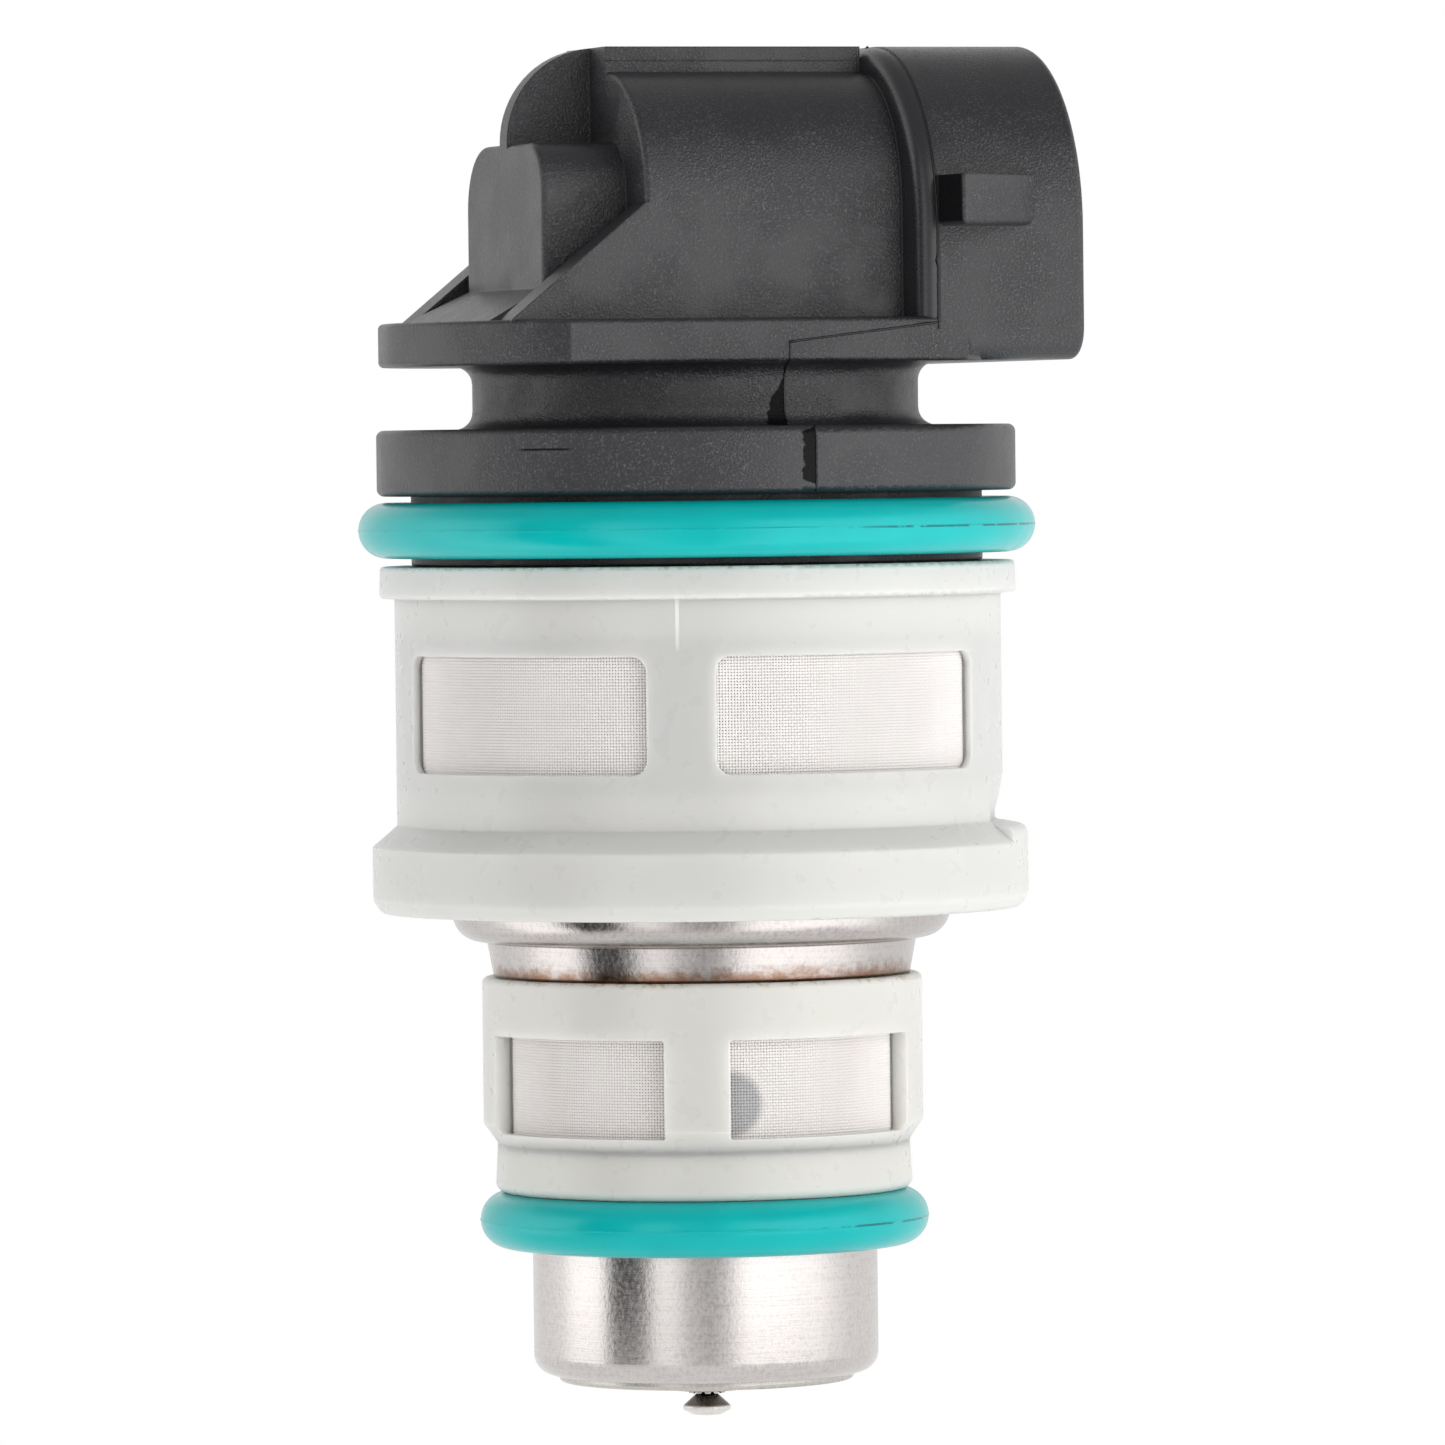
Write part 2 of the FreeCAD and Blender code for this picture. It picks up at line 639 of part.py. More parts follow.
def core_blank():
    """The stator core without its bore, also the room that the head leaves for it."""
    return turned([
        (0, core_foot),
        (CORE_R, core_foot, SOFT),
        (CORE_R, plate_top),
        (CORE_STUB_R, plate_top),
        (CORE_STUB_R, core_top, BLUNT),
        (0, core_top),
    ])


def stator_core():
    return core_blank().cut(cylinder(CORE_BORE_R, core_foot, core_top))


def spring_adjuster():
    plug_r = CORE_BORE_R - ADJUSTER_SLIP
    top = core_top - ADJUSTER_TOP
    seal_groove_top = top - ADJUSTER_GROOVE_DROP
    plug = turned([
        (0, spring_top),
        (plug_r, spring_top, SOFT),
        (plug_r, seal_groove_top - ADJUSTER_GROOVE),
        (ADJUSTER_GROOVE_R, seal_groove_top - ADJUSTER_GROOVE),
        (ADJUSTER_GROOVE_R, seal_groove_top),
        (plug_r, seal_groove_top),
        (plug_r, top, SOFT),
        (0, top),
    ])
    half = ADJUSTER_SLOT / 2
    slot = slab_z(rectangle(-plug_r, -half, plug_r, half), top - ADJUSTER_SLOT_DEPTH, top)
    return plug.cut(slot)


def adjuster_seal():
    top = core_top - ADJUSTER_TOP - ADJUSTER_GROOVE_DROP
    section = CORE_BORE_R - ADJUSTER_GROOVE_R
    return o_ring(ADJUSTER_GROOVE_R, top - ADJUSTER_GROOVE / 2, section, 0.0)


# ---- filters and seals ------------------------------------------------------------------------------------
def window_cuts(inner, outer, foot, top, strut, width, turn, corner):
    """Four openings through a filter's wall, beside its two narrow struts."""
    cuts = []
    for strut_turn in (0, 180):
        for hand in (-1, 1):
            middle = turn + strut_turn + hand * (strut + width) / 2
            cut = turned(rectangle(inner, foot, outer, top), width, middle - width / 2 - QUARTER)
            if corner > 0:
                level = [edge for edge in cut.Edges if is_radial(edge)]
                cut = cut.makeFillet(corner, level)
            cuts.append(cut)
    return cuts


def is_radial(edge):
    """True for a straight level edge that points away from the axis."""
    start = edge.Vertexes[0].Point
    end = edge.Vertexes[-1].Point
    return abs(start.z - end.z) < NEAR and abs(start.x * end.y - start.y * end.x) < NEAR


def lower_frame_blank():
    foot = lower_filter_foot
    chamfer_foot = foot + LOWER_FOOT
    foot_r = seal_seat_r + LOWER_FOOT_WALL
    frame_r = seal_seat_r + LOWER_FRAME_WALL
    inner_r = seal_seat_r + FILTER_SLIP
    return turned([
        (inner_r, foot),
        (foot_r, foot, LOWER_FOOT_EDGE),
        (foot_r - LOWER_FOOT_DRAFT, chamfer_foot, CRISP),
        (frame_r, chamfer_foot + LOWER_CHAMFER, CRISP),
        (frame_r, collar_foot, BLUNT),
        (shell_shoulder_r, collar_foot),
        (shell_shoulder_r, foot + LOWER_LAND),
        (inner_r, foot + LOWER_LAND),
    ])


def lower_screen_r():
    return seal_seat_r + LOWER_FRAME_WALL - LOWER_SCREEN_INSET


def lower_filter_screen():
    foot = lower_filter_foot + LOWER_WINDOW_FOOT - SCREEN_MARGIN
    top = collar_foot - LOWER_WINDOW_HEAD + SCREEN_MARGIN
    return cylinder(lower_screen_r(), foot, top).cut(cylinder(lower_screen_r() - SCREEN, foot, top))


def lower_filter_frame():
    outer_r = seal_seat_r + LOWER_FRAME_WALL + BITE
    cuts = window_cuts(seal_seat_r, outer_r, lower_filter_foot + LOWER_WINDOW_FOOT,
                       collar_foot - LOWER_WINDOW_HEAD, LOWER_STRUT_DEG, LOWER_WINDOW_DEG,
                       LOWER_FILTER_TURN, LOWER_WINDOW_CORNER)
    return lower_frame_blank().cut(cuts + [lower_filter_screen()])


def upper_frame_r():
    return CAN_R + SPIGOT_WALL + UPPER_FILTER_WALL


def upper_frame_blank():
    foot = upper_filter_foot
    top = upper_filter_top
    spigot_r = CAN_R + SPIGOT_WALL
    frame_r = upper_frame_r()
    skirt_r = frame_r + UPPER_SKIRT_WALL
    ring_r = frame_r + UPPER_RING_WALL
    ring_foot = top - UPPER_RING
    skirt_top = foot + UPPER_SKIRT_TOP
    return turned([
        (CAN_R + FILTER_SLIP, foot),
        (skirt_r - UPPER_SKIRT_FOOT_IN, foot, BLUNT),
        (skirt_r, foot + UPPER_SKIRT_FOOT, 2 * BLUNT),
        (skirt_r, skirt_top, CRISP),
        (frame_r, skirt_top + UPPER_CHAMFER, CRISP),
        (frame_r, ring_foot, CRISP),
        (ring_r, ring_foot, SOFT),
        (ring_r - UPPER_RING_DRAFT, top, SOFT),
        (spigot_r, top),
        (spigot_r, top - SPIGOT_LENGTH),
        (spigot_r + UPPER_STEP, top - SPIGOT_LENGTH),
        (spigot_r + UPPER_STEP, skirt_top),
        (CAN_R + FILTER_SLIP, skirt_top),
    ])


def upper_filter_screen():
    screen_r = upper_frame_r() - UPPER_SCREEN_INSET
    foot = upper_filter_foot + UPPER_WINDOW_FOOT - SCREEN_MARGIN
    top = upper_filter_top - UPPER_WINDOW_HEAD + SCREEN_MARGIN
    return cylinder(screen_r, foot, top).cut(cylinder(screen_r - SCREEN, foot, top))


def upper_filter_frame():
    frame_r = upper_frame_r()
    skirt_r = frame_r + UPPER_SKIRT_WALL
    skirt_top = upper_filter_foot + UPPER_SKIRT_TOP
    shoulder = skirt_top + UPPER_CHAMFER
    clip_start = UPPER_FILTER_TURN - SNAP_DEG / 2
    clip_shoulder = turned([
        (frame_r - SNAP_BITE, skirt_top - SOFT),
        (skirt_r, skirt_top - SOFT),
        (skirt_r, shoulder - SNAP_FALL, SNAP_CORNER),
        (frame_r - SNAP_DEPTH, shoulder),
        (frame_r - SNAP_BITE, shoulder),
    ], SNAP_DEG, clip_start)
    clip_relief = turned([
        (frame_r - SNAP_DEPTH, shoulder),
        (skirt_r, shoulder - SNAP_FALL),
        (skirt_r + BITE, shoulder - SNAP_FALL),
        (skirt_r + BITE, shoulder + SNAP_HEIGHT),
        (frame_r, shoulder + SNAP_HEIGHT),
    ], SNAP_DEG, clip_start)
    cuts = window_cuts(CAN_R, skirt_r + BITE, upper_filter_foot + UPPER_WINDOW_FOOT,
                       upper_filter_top - UPPER_WINDOW_HEAD, UPPER_STRUT_DEG, UPPER_WINDOW_DEG,
                       UPPER_FILTER_TURN, UPPER_WINDOW_CORNER)
    blank = upper_frame_blank().fuse(clip_shoulder).cut(clip_relief)
    return blank.cut(cuts + [upper_filter_screen()])


def lower_seal():
    return o_ring(seal_seat_r, SEAL_SECTION / 2, SEAL_SECTION, LOWER_SEAL_STRETCH)


def upper_seal():
    land_r = CAN_R + LAND_WALL
    middle = upper_filter_top + LAND_HEIGHT / 2 + UPPER_SEAL_RISE
    return o_ring(land_r, middle, SEAL_SECTION, UPPER_SEAL_STRETCH)


# ---- head -------------------------------------------------------------------------------------------------
def head_neck():
    """The head's round part: skirt, seal land, lower flange, retainer groove."""
    middle = groove_top + HEAD_FLANGE / 2
    neck = turned([
        (0, upper_filter_top - SPIGOT_LENGTH),
        (CAN_R + SPIGOT_WALL, upper_filter_top - SPIGOT_LENGTH),
        (CAN_R + SPIGOT_WALL, upper_filter_top),
        (CAN_R + LAND_WALL, upper_filter_top, LAND_EDGE),
        (CAN_R + LAND_WALL, land_top),
        (CAN_R + FLANGE_WALL, land_top, FLANGE_EDGE),
        (CAN_R + FLANGE_WALL, flange_top, FLANGE_EDGE),
        (HEAD_NECK_R, flange_top, NECK_FILLET),
        (HEAD_NECK_R, groove_top, NECK_FILLET),
        (HEAD_NECK_R + NECK_FILLET, groove_top),
        (HEAD_NECK_R + NECK_FILLET, middle),
        (0, middle),
    ])
    reach = CAN_R + FLANGE_WALL + BITE
    far_side = slab_z(rectangle(-reach, SHROUD_HALF - EDGE, reach, reach), flange_top + NECK_FILLET, middle)
    near_side = slab_z(rectangle(-reach, -reach, reach, EDGE - SHROUD_HALF), flange_top + NECK_FILLET, middle)
    return neck.cut([far_side, near_side])


def head_flange():
    disc = cylinder(HEAD_FLANGE_R, groove_top, head_flange_top)
    between_flats = rectangle(-HEAD_FLANGE_R, -SHROUD_HALF, HEAD_FLANGE_R, SHROUD_HALF)
    plate = disc.common(slab_z(between_flats, groove_top, head_flange_top))
    upper = edges_at(plate, lambda point: point.z > head_flange_top - NEAR)
    lower = edges_at(plate, lambda point: point.z < groove_top + NEAR)
    return plate.makeFillet(EDGE, upper + lower)


def shroud():
    """Wide mouth of the socket, with the smoother band behind the mould's parting line."""
    main = slab_x(arch(SHROUD_HALF, groove_top, shroud_top, SHROUD_CORNER, SHROUD_FOOT_CORNER),
                  BAND_END, SHROUD_MOUTH)
    rim = edges_at(main, lambda point: point.x > SHROUD_MOUTH - NEAR)
    main = main.makeFillet(SHROUD_RIM, rim)
    band = slab_x(arch(SHROUD_HALF - BAND_STEP, groove_top, shroud_top - BAND_STEP,
                       SHROUD_CORNER - BAND_STEP, SHROUD_FOOT_CORNER), SHROUD_BACK, BAND_END)
    rear = edges_at(band, lambda point: point.x < SHROUD_BACK + NEAR)
    band = band.makeFillet(BAND_EDGE, rear)
    return main.fuse(band)


def barrel():
    """Narrower body behind the mouth, with the rail along its top."""
    back_and_front = (BARREL_BACK, SHROUD_BACK + BAND_STEP)
    top = shroud_top - BARREL_DROP
    body = slab_x(arch(BARREL_HALF, groove_top, top, BARREL_CORNER, 0), *back_and_front)
    arris = edges_at(body, lambda point: point.x < BARREL_BACK + NEAR and point.z > head_flange_top)
    body = body.makeFillet(EDGE, arris)
    step = shroud_top - RAIL_STEP_RISE
    rail = slab_x(rectangle(-RAIL_HALF, top - BITE, RAIL_HALF, step), *back_and_front)
    crest = slab_x(rectangle(RAIL_STEP - RAIL_HALF, step, RAIL_HALF - RAIL_STEP, shroud_top), *back_and_front)
    return body.fuse([rail, crest])


def rear_block():
    """Block over the terminals' legs, with the ramp at its foot."""
    top = shroud_top - BLOCK_DROP
    outline = [
        (-BLOCK_HALF, groove_top),
        (BLOCK_HALF, groove_top),
        (BLOCK_HALF, top, BLOCK_FAR_CORNER),
        (-BLOCK_HALF, top, BLOCK_NEAR_CORNER),
    ]
    block = slab_x(outline, FIN_BACK, BARREL_BACK + BITE)
    arris = edges_at(block, lambda point: point.x < FIN_BACK + NEAR and point.z > head_flange_top)
    block = block.makeFillet(EDGE, arris)
    foot = head_flange_top - RAMP_HEIGHT / 2
    shift = RAMP_REACH / 2
    ramp_top = head_flange_top + RAMP_HEIGHT
    low = slab_outline(FIN_BACK - RAMP_REACH - shift, GUSSET_IN + BITE / 2, foot)
    high = slab_outline(FIN_BACK, BLOCK_HALF, ramp_top)
    ramp = outward(Part.makeLoft([low, high], True, True))
    return block.fuse(ramp.common(cylinder(HEAD_FLANGE_R, foot, ramp_top)))


def slab_outline(back, half, height):
    """Level rectangle from x = back to inside the barrel."""
    corners = rectangle(back, -half, BARREL_BACK + BITE, half)
    return rounded_wire(corners, lambda point: Vector(point.x, point.y, height))


def fin():
    half = FIN / 2
    outline = [
        (FIN_BACK, head_flange_top),
        (BARREL_BACK + BITE, head_flange_top),
        (BARREL_BACK + BITE, shroud_top),
        (FIN_BACK, shroud_top, FIN_CORNER),
    ]
    return slab_y(outline, -half, half)


def gusset(side):
    """Sloping web between the head's flange and the barrel."""
    foot = head_flange_top - HEAD_FLANGE / 2
    outline = [
        (BARREL_BACK - GUSSET_REACH, foot),
        (BARREL_BACK + BITE, foot),
        (BARREL_BACK + BITE, head_flange_top + GUSSET_HEIGHT),
        (BARREL_BACK, head_flange_top + GUSSET_HEIGHT),
        (BARREL_BACK - GUSSET_REACH, head_flange_top, 2 * SOFT),
    ]
    return slab_y(outline, side * GUSSET_IN, side * BARREL_HALF)


def lock_tab(side):
    """Ramped tab that holds the plug's latch."""
    wall = SHROUD_HALF - BITE / 2
    outline = [
        (BAND_END, side * wall),
        (BAND_END, side * (SHROUD_HALF + TAB_PROUD), SOFT),
        (BAND_END + TAB_LENGTH, side * SHROUD_HALF),
        (BAND_END + TAB_LENGTH, side * wall),
    ]
    tab = slab_z(outline, groove_top + TAB_LOW, groove_top + TAB_HIGH)
    sloped = edges_at(tab, lambda point: abs(point.y) > SHROUD_HALF - NEAR)
    lower = [edge for edge in sloped if edge.BoundBox.ZMax < groove_top + TAB_LOW + NEAR]
    return tab.makeFillet(TAB_EDGE, lower)


def socket_room():
    """What the head leaves open for the plug, less the two keys on its floor."""
    mouth = slab_x(arch(SHROUD_HALF - SHROUD_WALL, groove_top + SHROUD_WALL, shroud_top - SHROUD_WALL,
                        SHROUD_CORNER - SHROUD_WALL, SHROUD_FOOT_CORNER), SOCKET_STEP, SHROUD_MOUTH + BITE)
    inner = slab_x(arch(SOCKET_HALF, groove_top + SOCKET_LOW, groove_top + SOCKET_HIGH,
                        SOCKET_CORNER, SOCKET_FOOT_CORNER), SOCKET_FLOOR, SOCKET_STEP + BITE)
    keys = []
    for side in (-1, 1):
        middle = side * KEY_OFFSET
        low = groove_top + SOCKET_LOW
        keys.append(slab_x(rectangle(middle - KEY / 2, low - BITE, middle + KEY / 2, low + KEY),
                           SOCKET_FLOOR - BITE, SOCKET_STEP - KEY_SETBACK))
    return mouth.fuse(inner).cut(keys)


def can_room():
    """The can's outside, less the plug of nylon inside its crimped rim."""
    foot = upper_filter_top - SPIGOT_LENGTH - BITE
    room = cylinder(CAN_R, foot, can_top)
    return room.cut(cylinder(can_bore_r - CRIMP_REACH, plate_top, can_top))


def connector_housing():
    solids = [head_flange(), shroud(), barrel(), rear_block(), fin(),
              gusset(-1), gusset(1), lock_tab(-1), lock_tab(1)]
    head = head_neck().fuse(solids).removeSplitter()
    rooms = [socket_room(), can_room(), core_blank(), terminal(-1), terminal(1),
             tower(TOWER_R, -1), tower(TOWER_R, 1)]
    return head.cut(rooms)


# ---- the parts --------------------------------------------------------------------------------------------
PARTS = {
    "connector_housing": connector_housing,
    "terminal_left": lambda: terminal(1),
    "terminal_right": lambda: terminal(-1),
    "solenoid_can": solenoid_can,
    "coil_bobbin": coil_bobbin,
    "coil_winding": coil_winding,
    "coil_seal_upper": coil_seal_upper,
    "coil_seal_lower": coil_seal_lower,
    "pole_plate": pole_plate,
    "stator_core": stator_core,
    "spring_adjuster": spring_adjuster,
    "adjuster_seal": adjuster_seal,
    "return_spring": return_spring,
    "armature": armature,
    "needle": needle,
    "armature_guide_ring": armature_guide_ring,
    "spacer_sleeve": spacer_sleeve,
    "lift_stop_plate": lift_stop_plate,
    "valve_seat_body": valve_seat_body,
    "nozzle_shell": nozzle_shell,
    "lower_seal": lower_seal,
    "lower_filter_frame": lower_filter_frame,
    "lower_filter_screen": lower_filter_screen,
    "upper_filter_frame": upper_filter_frame,
    "upper_filter_screen": upper_filter_screen,
    "upper_seal": upper_seal,
}


def main():
    os.makedirs("parts", exist_ok=True)
    for name, make in PARTS.items():
        shape = outward(make())
        solid = shape.Solids[0] if len(shape.Solids) == 1 else shape
        solid.exportStep("parts/" + name + ".step")
        box = solid.BoundBox
        print(f"{name:22s} solids {len(shape.Solids)} valid {solid.isValid()} volume {solid.Volume:9.2f} "
              f"z {box.ZMin:7.2f} to {box.ZMax:7.2f}")


main()
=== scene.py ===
# %% [markdown]
# # A single-point fuel injector
# This lesson dresses a finished mechanical model of a fuel injector. The injector is the kind that
# sits in a throttle body over the engine's intake: a black nylon head with a two-pin socket, two
# white filters with woven screens, two teal rubber rings, and a steel nozzle with a needle in it.
# The sizes all belong to the mechanical model, which is loaded as a fixed frame. What Blender adds
# is how each piece looks and the fine things that a mould, a loom and a lathe leave behind.

# %% Load the frame
import json
import math
import random

import bpy
import numpy as np
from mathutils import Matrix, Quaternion, Vector


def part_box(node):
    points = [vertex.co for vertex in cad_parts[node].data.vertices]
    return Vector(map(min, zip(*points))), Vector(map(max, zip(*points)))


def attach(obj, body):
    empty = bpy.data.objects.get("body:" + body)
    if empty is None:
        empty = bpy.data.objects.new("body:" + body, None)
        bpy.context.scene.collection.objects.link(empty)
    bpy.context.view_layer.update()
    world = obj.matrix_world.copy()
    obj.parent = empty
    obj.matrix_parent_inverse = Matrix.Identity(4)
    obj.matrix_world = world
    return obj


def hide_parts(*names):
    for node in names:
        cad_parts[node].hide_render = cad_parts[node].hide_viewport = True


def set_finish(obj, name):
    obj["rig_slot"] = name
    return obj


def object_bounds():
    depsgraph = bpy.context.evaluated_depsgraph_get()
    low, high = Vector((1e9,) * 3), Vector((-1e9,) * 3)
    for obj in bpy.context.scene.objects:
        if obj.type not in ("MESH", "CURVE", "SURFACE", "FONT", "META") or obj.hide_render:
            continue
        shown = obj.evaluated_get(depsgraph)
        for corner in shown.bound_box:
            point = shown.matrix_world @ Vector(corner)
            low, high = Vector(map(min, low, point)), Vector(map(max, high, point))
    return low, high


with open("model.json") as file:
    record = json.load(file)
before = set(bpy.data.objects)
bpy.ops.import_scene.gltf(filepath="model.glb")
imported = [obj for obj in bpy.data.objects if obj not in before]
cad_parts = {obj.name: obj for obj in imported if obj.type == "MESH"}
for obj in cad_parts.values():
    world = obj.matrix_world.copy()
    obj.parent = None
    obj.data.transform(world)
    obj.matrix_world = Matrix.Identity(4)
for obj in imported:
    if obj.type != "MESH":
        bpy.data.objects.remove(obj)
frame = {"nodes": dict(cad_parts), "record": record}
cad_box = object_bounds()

MM = 0.001
nodes = frame["nodes"]
scene = bpy.context.scene
low, high = cad_box
print("frame:", len(nodes), "pieces,", [round(side / MM, 2) for side in high - low], "mm")

# %% [markdown]
# ## The camera
# A small product is usually shown from far off through a long lens, so that its round parts
# show almost no ellipse. The camera looks a little down, from the side of the socket's keyway, and
# is rolled by less than a degree. A camera can be aimed with a constraint, but a plain position and
# rotation are easier to read later, so both are worked out here from the angle and the distance.

# %% Camera
CAMERA_TURN = math.radians(-18.1)
CAMERA_DROP = math.radians(1.4)
CAMERA_ROLL = math.radians(-0.67)
CAMERA_DISTANCE = 0.525
AIM_RIGHT = 1.107 * MM
AIM_HEIGHT = 24.6 * MM
LENS = 277.5
NEAREST = 0.05
FARTHEST = 20.0

level_ahead = Vector((-math.sin(CAMERA_TURN), math.cos(CAMERA_TURN), 0))
level_right = Vector((math.cos(CAMERA_TURN), math.sin(CAMERA_TURN), 0))
ahead = level_ahead * math.cos(CAMERA_DROP) - Vector((0, 0, math.sin(CAMERA_DROP)))

camera = bpy.data.objects.new("camera", bpy.data.cameras.new("camera"))
scene.collection.objects.link(camera)
camera.data.lens = LENS
camera.data.clip_start = NEAREST
camera.data.clip_end = FARTHEST
camera.location = level_right * AIM_RIGHT + Vector((0, 0, AIM_HEIGHT)) - ahead * CAMERA_DISTANCE
camera.rotation_mode = "QUATERNION"
camera.rotation_quaternion = ahead.to_track_quat("-Z", "Y") @ Quaternion((0, 0, 1), CAMERA_ROLL)
scene.camera = camera
print("camera at", [round(value, 4) for value in camera.location])

# %% [markdown]
# ## Small helpers for node trees
# A finish in Blender is a tree of nodes. Written out in full, one node takes four or five lines,
# so two helpers keep the recipes short: one makes a node and fills in its inputs, and one does a
# sum. An input that is given another node's output is linked to it, and any other value is typed in.

# %% Node helpers
def node(tree, kind, settings=None, **inputs):
    """Adds a node, sets its options, and fills or links its inputs by name."""
    made = tree.nodes.new("ShaderNode" + kind)
    for name, value in (settings or {}).items():
        setattr(made, name, value)
    for name, value in inputs.items():
        fill(tree, made.inputs[name.replace("_", " ")], value)
    return made


def fill(tree, socket, value):
    """Links a node's output to the socket, or types the value into it."""
    if isinstance(value, bpy.types.NodeSocket):
        tree.links.new(value, socket)
    else:
        socket.default_value = value


def sums(tree, operation, *values):
    """One Math node, and its result."""
    made = node(tree, "Math", {"operation": operation})
    for socket, value in zip(made.inputs, values):
        fill(tree, socket, value)
    return made.outputs[0]


def ramp(tree, factor, stops):
    """Colour ramp through stops of (position, colour or grey), and its colour output."""
    made = node(tree, "ValToRGB", Fac=factor)
    while len(made.color_ramp.elements) < len(stops):
        made.color_ramp.elements.new(0.5)
    for element, (position, colour) in zip(made.color_ramp.elements, stops):
        element.position = position
        element.color = (*colour, 1) if isinstance(colour, tuple) else (colour, colour, colour, 1)
    return made.outputs["Color"]


def between(tree, value, start, end, low_value=0.0, high_value=1.0):
    """Smooth step of a value from one level at start to another at end."""
    made = node(tree, "MapRange", {"interpolation_type": "SMOOTHSTEP"}, Value=value)
    limits = {"From Min": start, "From Max": end, "To Min": low_value, "To Max": high_value}
    for name, number in limits.items():
        made.inputs[name].default_value = number
    return made.outputs["Result"]


def mix(tree, factor, first, second):
    """Blend of two colours, and its result."""
    made = node(tree, "Mix", {"data_type": "RGBA"})
    fill(tree, made.inputs["Factor"], factor)
    for socket, value in ((made.inputs[6], first), (made.inputs[7], second)):
        fill(tree, socket, (*value, 1) if isinstance(value, tuple) else value)
    return made.outputs[2]


# %% [markdown]
# ## Light
# The pieces are pale, black and mirror-like at once, so the light has to be soft and yet have some
# shape for the steel to show. In a studio, such a piece stands in a ring of white panels with gaps
# between them. The same ring can be painted on the world's background: the direction of a ray
# gives an angle round the injector, and a colour ramp says how bright the ring is there. It costs
# nothing to render and leaves no lamps in the way. Rays straight from the camera see plain white.

# %% Ring of soft panels
RING = [
    (-180, 0.85), (-140, 0.95), (-112, 1.20), (-98, 1.80), (-74, 1.80), (-68, 0.55), (-63, 0.07),
    (-46, 0.07), (-39, 0.50), (-33, 1.55), (-22, 1.55), (-12, 0.80), (-2, 0.56), (9, 0.54),
    (17, 1.10), (26, 2.00), (60, 2.00), (80, 1.80), (95, 1.30), (112, 1.05), (180, 0.85),
]
CEILING_STARTS = 0.35
CEILING_FULL = 0.75
CEILING = 0.36
BRIGHTEST = 2.2


def light_ring():
    """World background that is a ring of panels round the injector, under a plain ceiling."""
    world = bpy.data.worlds.new("light_ring")
    world.use_nodes = True
    tree = world.node_tree
    tree.nodes.clear()
    direction = node(tree, "TexCoord").outputs["Generated"]
    turned = node(tree, "VectorRotate", {"rotation_type": "Z_AXIS"}, Vector=direction, Angle=-CAMERA_TURN)
    parts = node(tree, "SeparateXYZ", Vector=turned.outputs["Vector"])
    towards_camera = sums(tree, "MULTIPLY", parts.outputs["Y"], -1.0)
    angle = sums(tree, "ARCTAN2", parts.outputs["X"], towards_camera)
    share = sums(tree, "MULTIPLY_ADD", angle, 1 / math.tau, 0.5)
    stops = [((degrees + 180) / 360, brightness / BRIGHTEST) for degrees, brightness in RING]
    panels = ramp(tree, share, stops)
    overhead = between(tree, parts.outputs["Z"], CEILING_STARTS, CEILING_FULL)
    colour = mix(tree, overhead, panels, (CEILING / BRIGHTEST,) * 3)
    ring = node(tree, "Background", Color=colour, Strength=BRIGHTEST)
    white = node(tree, "Background", Color=(1, 1, 1, 1), Strength=1.0)
    rays = node(tree, "LightPath")
    choice = node(tree, "MixShader", Fac=rays.outputs["Is Camera Ray"])
    fill(tree, choice.inputs[1], ring.outputs[0])
    fill(tree, choice.inputs[2], white.outputs[0])
    out = node(tree, "OutputWorld")
    fill(tree, out.inputs["Surface"], choice.outputs[0])
    return world


scene.world = light_ring()
scene.view_settings.view_transform = "Standard"
print("light ring of", len(RING), "stops")

# %% [markdown]
# ## The floor
# The floor is a plain pale sheet, lit from all round, so it shows no shadow worth the name. A curved
# backdrop would also do, but a flat sheet that looks as white as the background is the simplest
# thing that stays even. It is kept small: seen in upright steel, a wide floor would fill the lower
# half of every reflection and wipe out the panels.

# %% Floor
FLOOR_HALF = 0.032
FLOOR_GLOW = 0.95


def floor_sheet():
    """Small flat sheet under the nozzle's tip, plain white to the camera and a soft glow to the steel."""
    half = FLOOR_HALF
    mesh = bpy.data.meshes.new("floor")
    corners = [(-half, -half, low.z), (half, -half, low.z), (half, half, low.z), (-half, half, low.z)]
    mesh.from_pydata(corners, [], [(0, 1, 2, 3)])
    sheet = bpy.data.objects.new("floor", mesh)
    scene.collection.objects.link(sheet)
    paper = bpy.data.materials.new("white_paper")
    paper.use_nodes = True
    tree = paper.node_tree
    tree.nodes.clear()
    pale = node(tree, "Emission", Color=(1, 1, 1, 1), Strength=FLOOR_GLOW)
    glow = node(tree, "Emission", Color=(1, 1, 1, 1), Strength=1.0)
    rays = node(tree, "LightPath")
    choice = node(tree, "MixShader", Fac=rays.outputs["Is Camera Ray"])
    fill(tree, choice.inputs[1], pale.outputs[0])
    fill(tree, choice.inputs[2], glow.outputs[0])
    out = node(tree, "OutputMaterial")
    fill(tree, out.inputs["Surface"], choice.outputs[0])
    mesh.materials.append(paper)
    return sheet


floor_sheet()
print("floor:", 2 * FLOOR_HALF / MM, "mm wide")

# %% [markdown]
# ## Starting a finish
# Each finish begins the same way: a material with one Principled shader, its plain numbers typed
# into the shader, and the point on the surface in millimetres. Every piece was made where it
# belongs on the injector, so its own coordinates are the injector's, and a stain or a mould line
# can be placed by its height or its side with no unwrapping at all.

